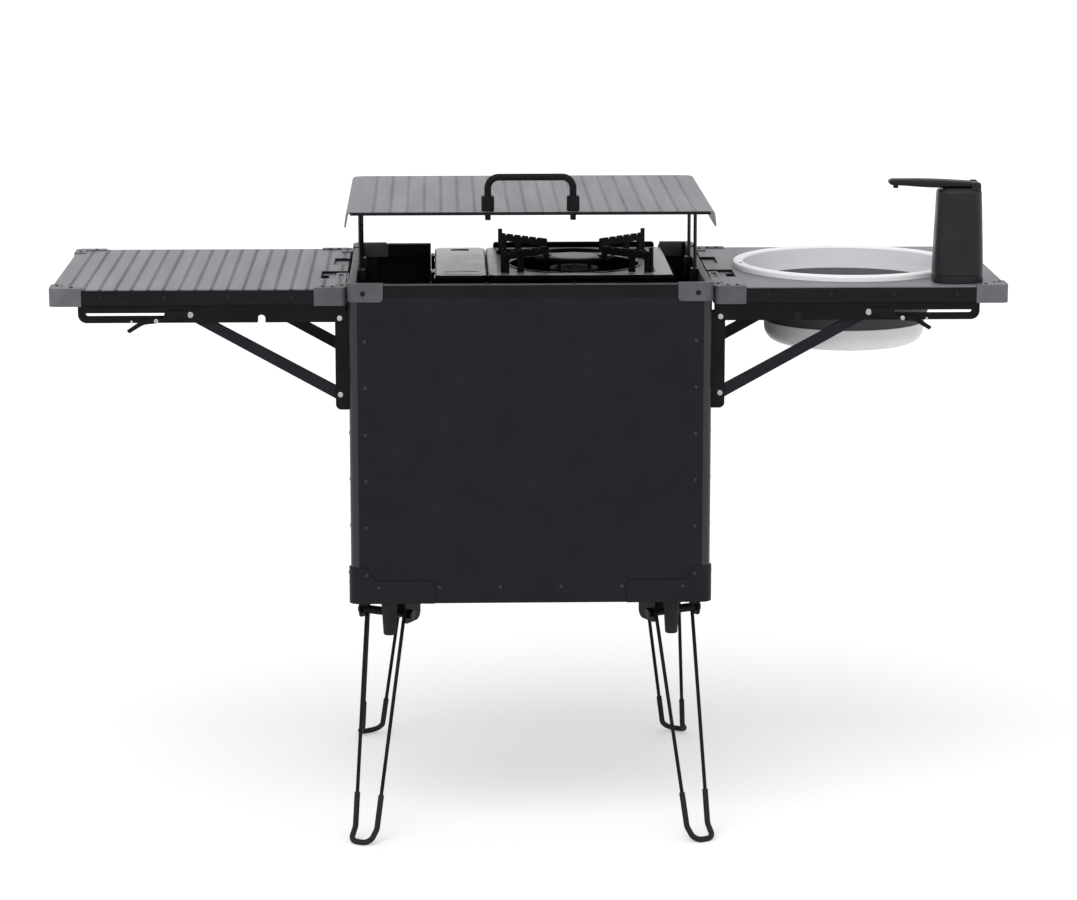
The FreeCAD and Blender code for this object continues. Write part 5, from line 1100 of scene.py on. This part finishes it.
@dataclass
class Wing:
    """One folding side table with its brackets.

    The pair for a rivet, a cap or a screw is the radius and the height of its head. A pocket is
    its middle from front to rear, its width and its depth. The nose is the outline of the lever's
    end about its pivot.
    """

    side: Side
    inner: float = 254.0
    half_depth: float = 199.0
    top: float = 767.5
    rivet: Pair = (3.0, 1.2)
    rivet_drop: float = 12.0
    rivet_places: tuple[float, ...] = (328.0, 414.7, 501.3, 588.0)
    cap_wall: float = 1.5
    cap_screw: Pair = (2.6, 1.1)
    cap_screws: tuple[Pair, ...] = ((272.4, 188.0), (285.3, 188.0), (259.6, 176.7),
                                    (629.0, 188.0), (651.0, 168.0))
    outer_caps: float = 600.0
    leaf_height: float = 762.8
    lever: Pair = (513.0, 723.8)
    pivot_cap: Pair = (3.2, 1.2)
    lever_rivet: Pair = (2.0, 1.1)
    lever_rivet_place: Pair = (33.5, -1.0)
    nose_wall: float = 1.5
    nose: tuple[Pair, ...] = ((-43.0, 4.5), (-43.0, 12.0), (-41.0, 14.0), (-14.0, 14.0),
                              (-12.0, 12.0), (-10.0, 5.0), (3.0, 3.0), (3.0, -2.5), (-4.0, -2.5))
    outline_radius: float = 0.9
    outline_corner: float = 2.2
    pockets: tuple[Triple, ...] = ((-65.67, 70.0, 37.0), (65.67, 65.0, 22.0))

    def shells(self) -> None:
        """Frame, plate, fittings and bracket pieces as the CAD has them, dressed."""
        word = self.side.word
        sheet = DASHED_TABLE if self.side is Side.LEFT else ANODISED_SHEET
        for node, body, slot, finish, bevel in (
                ("wing_frame", "wing", "black_rail", BLACK_EXTRUSION, 0.35),
                ("wing_plate", "wing", "grey_sheet", sheet, 0.25),
                ("wing_fittings", "wing", "grey_fitting", CAST_FITTING, 0.3),
                ("bracket_arms", "wing", "black_steel", BLACK_PAINT, 0.25),
                ("struts", "struts", "black_steel", POWDER_SHEET, 0.25),
                ("strut_pins", "strut_pins", "bright_steel", ZINC_STEEL, 0.0),
                ("release_levers", "release_levers", "black_steel", BLACK_PAINT, 0.2),
                ("latch_slide", "latch", "bright_steel", ANODISED_SHEET, 0.2)):
            piece = skin(f"{word}_{node}", f"{word}_{body}", slot, finish, bevel)
            if node == "wing_fittings":
                paint(piece, ANODISED_SHEET,
                      lambda centre, normal: abs(centre[:, 2] - self.leaf_height) < 1.0)
                # Painted light: the outer caps get the paler finish.
                paint(piece, PAINTED_LIGHT_FITTING,
                      lambda centre, normal: abs(centre[:, 0]) > self.outer_caps)

    def fasteners(self) -> None:
        """Rivets along the frame, and the screws in the corner caps."""
        sign, word = self.side.value, self.side.word
        height = self.top - self.rivet_drop
        rivets = [dome(*self.rivet, (sign * x, way * self.half_depth, height), (0, way, 0))
                  for way in (-1, 1) for x in self.rivet_places]
        put(f"{word}_frame_rivets", rivets, BLACK_SCREW, f"{word}_wing", "black_steel")
        height = self.top + self.cap_wall
        screws = [screw_head(*self.cap_screw, (sign * x, way * y, height), (0, 0, 1))
                  for way in (-1, 1) for x, y in self.cap_screws]
        put(f"{word}_cap_screws", screws, BLACK_SCREW, f"{word}_wing", "black_steel")

    def catches(self) -> None:
        """The lever's nose, which stands before the slot beside the pin, and its two rivets."""
        sign, word = self.side.value, self.side.word
        low, high = (Vector(corner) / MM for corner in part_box(f"{word}_release_levers"))
        x, z = self.lever
        outline = np.array(self.nose) + self.lever
        plates, heads, caps = [], [], []
        for way, face in ((-1, low.y), (1, high.y)):
            faces = sorted((face, face - way * self.nose_wall))
            plates.append(plate(outline, *faces).mirrored(sign))
            rivet = (sign * (x + self.lever_rivet_place[0]), face, z + self.lever_rivet_place[1])
            heads.append(dome(*self.lever_rivet, rivet, (0, way, 0)))
            caps.append(dome(*self.pivot_cap, (sign * x, face + way, z), (0, way, 0)))
        body = f"{word}_release_levers"
        put(f"{word}_lever_noses", plates, BLACK_PAINT, body, "black_steel")
        put(f"{word}_lever_rivets", heads, ZINC_STEEL, body, "bright_steel")
        put(f"{word}_lever_pivot_caps", caps, ZINC_STEEL, f"{word}_wing", "bright_steel")

    def edging(self) -> None:
        """Dark rings round both pockets: the black frame at their walls together with painted shade
        in their step.

        A round section runs along a closed rounded rectangle: the point is the line's point plus
        radius (cos t outwards + sin t upwards).
        """
        radius = self.outline_radius
        turn = np.linspace(0, 2 * math.pi, 8, endpoint=False)
        high = self.top - radius + radius * np.sin(turn)[None, :, None]
        rings = []
        for middle, width, depth in self.pockets:
            line = rounded_outline(depth - radius * 2, width - radius * 2, self.outline_corner, 5)
            flat = line[:, None] + radius * np.cos(turn)[None, :, None] * unit(line)[:, None]
            grid = np.concatenate([flat + (self.inner + depth / 2, middle),
                                   np.broadcast_to(high, (*flat.shape[:2], 1))], axis=2)
            rings.append(Surface(grid, rows_closed=True).mirrored(self.side.value))
        word = self.side.word
        # Partly painted shade: dark rubber rings stand for the shaded walls of the pockets.
        put(f"{word}_pocket_edging", rings, RUBBER, f"{word}_wing", "black_rail")

    def make(self) -> None:
        """Dress and build all of it."""
        self.shells()
        self.fasteners()
        self.catches()
        self.edging()


@dataclass
class Basin:
    """The collapsing basin in the right wing."""

    centre: Pair = (455.0, 0.0)
    rim: float = 160.0
    top: float = 776.0
    seat: float = 767.8
    collar: float = 145.5
    collar_low: float = 739.0
    lip: float = 2.2
    lip_rise: float = 17.1
    wall: float = 3.0
    floor: float = 660.0
    bowl_top: float = 692.0
    bowl: float = 115.0
    draft: float = 3.0
    corner: float = 22.0
    bowl_wall: float = 2.2
    facing: float = 0.3
    fold_top: float = 756.0
    collapse: float = 60.6
    rivet: Pair = (2.4, 0.7)
    rivet_place: Pair = (-151.0, -22.0)

    def brim(self) -> Surface:
        """Rolled rim and collar: a closed profile, straight walls under round shoulders, turned."""
        rim, top, wall, inner, low = self.rim, self.top, self.wall, self.collar, self.collar_low
        profile = [(rim, self.seat), (rim, top - wall),
                   *arc((rim - wall, top - wall), wall, 10, 90, 7),
                   *arc((inner + wall, top - wall), wall, 90, 180, 7),
                   (inner - self.lip, low + self.lip_rise),
                   (inner - 0.1, low + self.lip_rise - 0.05), (inner, low + 1),
                   (inner + 0.6, low), (inner + wall - 0.6, low), (inner + wall, low + 1),
                   (inner + wall, top - wall), (rim - wall, top - wall), (rim - wall, self.seat)]
        return turned(profile, (*self.centre, 0.0), sides=144, closed=True)

    def tub(self) -> Surface:
        """Lower bowl: floor, drawn corner and drafted side, outside and back down the inside."""
        bowl, floor, top, wall = self.bowl, self.floor, self.bowl_top, self.bowl_wall
        foot = bowl - self.draft * (top - floor - self.corner) / (top - floor) - self.corner
        knee = (foot, floor + self.corner)
        profile = [(0, floor), *arc(knee, self.corner, -90, 0, 12), (bowl, top - 0.6),
                   (bowl - 0.6, top), (bowl - wall + 0.6, top), (bowl - wall, top - 0.6),
                   *arc(knee, self.corner - wall, 0, -90, 12), (0, floor + wall)]
        return turned(profile, (*self.centre, 0.0), sides=144)

    def inside(self, centre: Array, normal: Array) -> Array:
        """Pick the faces below the rolled rim that look towards the basin's axis; they get the
        painted shade.
        """
        outwards = (unit(centre[:, :2] - self.centre) * normal[:, :2]).sum(axis=1)
        return (outwards < -self.facing) & (centre[:, 2] < self.top - self.wall)

    def make(self) -> None:
        """Build rim, bowl and rivet, and dress the soft wall, which on the real basin flattens
        upwards with the bowl.
        """
        brim = put("basin_brim", [self.brim()], BASIN_PLASTIC, "basin", "basin_plastic",
                   "basin_rim")
        # Painted shade: the brim's inner faces are given the greyer plastic.
        paint(brim, BASIN_SHADED_INSIDE, self.inside)
        put("basin_tub", [self.tub()], BASIN_PLASTIC, "basin_bowl", "basin_plastic", "basin_bowl")
        x, y = self.centre
        rivet = dome(*self.rivet, (x + self.rivet_place[0], y + self.rivet_place[1], self.top),
                     (0, 0, 1))
        put("basin_rim_rivet", [rivet], BLACK_SCREW, "basin", "black_steel")
        fold = skin("basin_wall", "basin", "basin_rubber", FOLD_ELASTOMER, 0.0)
        # Painted shade: the fold's inner faces are given the greyer elastomer.
        paint(fold, FOLD_SHADED_INSIDE, self.inside)
        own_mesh(fold)


@dataclass
class Pump:
    """The water pump on the right wing: housing, ears with their pin, and the hinged spout.

    A cap step gives the height over the housing, the cut from the head's size, and the corner
    radius. The ear's faces come with the width of their broken edge. The nozzle's profile gives
    radius and height.
    """

    middle: Pair = (594.0, -154.0)
    low: float = 767.5
    high: float = 896.5
    base: Triple = (69.0, 58.0, 20.0)
    head: Pair = (61.0, 51.0)
    foot: float = 12.0
    foot_cut: float = 1.6
    groove: float = 2.4
    bulge: float = 1.6
    edge: float = 4.0
    cap_steps: tuple[Triple, ...] = ((0.1, 12.0, 13.0), (1.8, 13.0, 12.5), (2.1, 15.0, 11.5))
    ear: Triple = (13.0, 15.5, 4.2)
    ear_place: Pair = (-1.0, -4.75)
    ear_faces: Triple = (13.8, 17.8, 0.5)
    pin: Pair = (616.5, 904.5)
    pin_radius: float = 2.0
    pin_half: float = 14.5
    pin_head: Pair = (2.6, 0.9)
    spout_span: Pair = (622.0, 496.0)
    spout_half: float = 13.5
    spout_taper: float = 3.5
    taper_start: float = 0.46
    under: Pair = (898.9, 3.4)
    upper: Pair = (906.5, 4.5)
    tip: float = 5.0
    nozzle: tuple = ((0, 0), (3.6, 0), (3.6, -4.2), (3.0, -5.0), (2.2, -5.0), (2.2, -1.0),
                     (0, -1.0))
    nozzle_inset: float = 10.0
    nozzle_top: float = 903.0

    def housing(self) -> Surface:
        """Rounded rectangles stacked from the foot up the taper, with a groove and a round edge."""
        width, depth, radius = self.base
        head_width, head_depth = self.head
        foot_top = self.low + self.foot
        sections = [(height, width - cut, depth - cut, radius - cut / 2) for height, cut in (
            (self.low, self.foot_cut), (self.low + self.foot_cut / 2, 0.0), (foot_top - 2.0, 0.0),
            (foot_top - 1.6, self.groove), (foot_top, self.groove), (foot_top + 0.4, 0.0))]
        for share in np.linspace(0.02, 0.96, 10):
            bulge = self.bulge * share * (1 - share)
            sections.append((foot_top + share * (self.high - foot_top),
                             width + (head_width - width) * share + bulge,
                             depth + (head_depth - depth) * share + bulge, radius))
        for turn in np.radians(np.linspace(20, 90, 6)):
            inset = self.edge * (1 - math.cos(turn))
            sections.append((self.high - self.edge + self.edge * math.sin(turn),
                             head_width - inset * 2, head_depth - inset * 2, radius - inset))
        sections += [(self.high + rise, head_width - cut, head_depth - cut, corner)
                     for rise, cut, corner in self.cap_steps]
        return lofted(sections, self.middle, 10)

    def ears(self) -> list[Surface]:
        """Two rounded lugs, plates across Y, and their pin with a domed head on each side."""
        x, y, z = self.pin[0], self.middle[1], self.pin[1]
        near, far, edge = self.ear_faces
        outline = rounded_outline(*self.ear, 7) + (x + self.ear_place[0], z + self.ear_place[1])
        parts = []
        for way in (-1, 1):
            parts.append(plate(outline, *sorted((y + way * near, y + way * far)), edge))
            parts.append(dome(*self.pin_head, (x, y + way * far, z), (0, way, 0)))
        radius, half = self.pin_radius, self.pin_half
        profile = [(0, -half), (radius, -half), (radius, half), (0, half)]
        return [*parts, turned(profile, (x, y, z), (0, 1, 0), 20)]

    def spout(self) -> list[Surface]:
        """Flat bar carried along X, and the nozzle under its tip.

        From the hinge to the tip the bar gets narrower in a smooth step, and its under side and
        upper side rise, each from a height by a rise. Both ends close on a half ellipse.
        """
        right, left = self.spout_span
        share = 0.5 - 0.5 * np.cos(np.linspace(0, math.pi, 26))
        x = right + (left - right) * share
        ease = np.clip((share - self.taper_start) / (1 - self.taper_start), 0, 1)
        ease = ease * ease * (3 - 2 * ease)
        low = self.under[0] + self.under[1] * ease
        high = self.upper[0] + self.upper[1] * np.sin(np.clip(share * 1.3, 0, 1) * math.pi / 2)
        to_end = np.clip(np.minimum(x - left, right - x) / self.tip, 0, 1)
        close = np.sqrt(np.clip(1 - (1 - to_end) ** 2, 0.02, 1))
        wide = (self.spout_half - self.spout_taper * ease) * (0.86 + 0.14 * close)
        tall = (high - low) / 2 * close
        ring = rounded_outline(2.0, 2.0, 0.62, 7)
        grid = np.stack([np.broadcast_to(x[:, None], (len(x), len(ring))),
                         self.middle[1] + wide[:, None] * ring[:, 0],
                         ((low + high) / 2)[:, None] + tall[:, None] * ring[:, 1]], axis=-1)
        place = (left + self.nozzle_inset, self.middle[1], self.nozzle_top)
        return [Surface(closed_ends(grid)), turned(self.nozzle, place)]

    def make(self) -> None:
        """Build the housing on the wing and the spout on its hinge."""
        put("pump_housing", [self.housing(), *self.ears()], PUMP_PLASTIC, "right_wing",
            "pump_plastic", "pump_column")
        put("pump_spout_bar", self.spout(), KNOB_PLASTIC, "pump_spout", "pump_plastic",
            "pump_spout")


def main() -> None:
    """Build every sub-assembly."""
    logging.basicConfig(level=logging.INFO, format="%(message)s")
    for assembly in (Studio(), Box(), *map(Leg, Corner), Stove(), Lid(), *map(Wing, Side), Basin(),
                     Pump()):
        assembly.make()


if __name__ == "__main__":
    main()
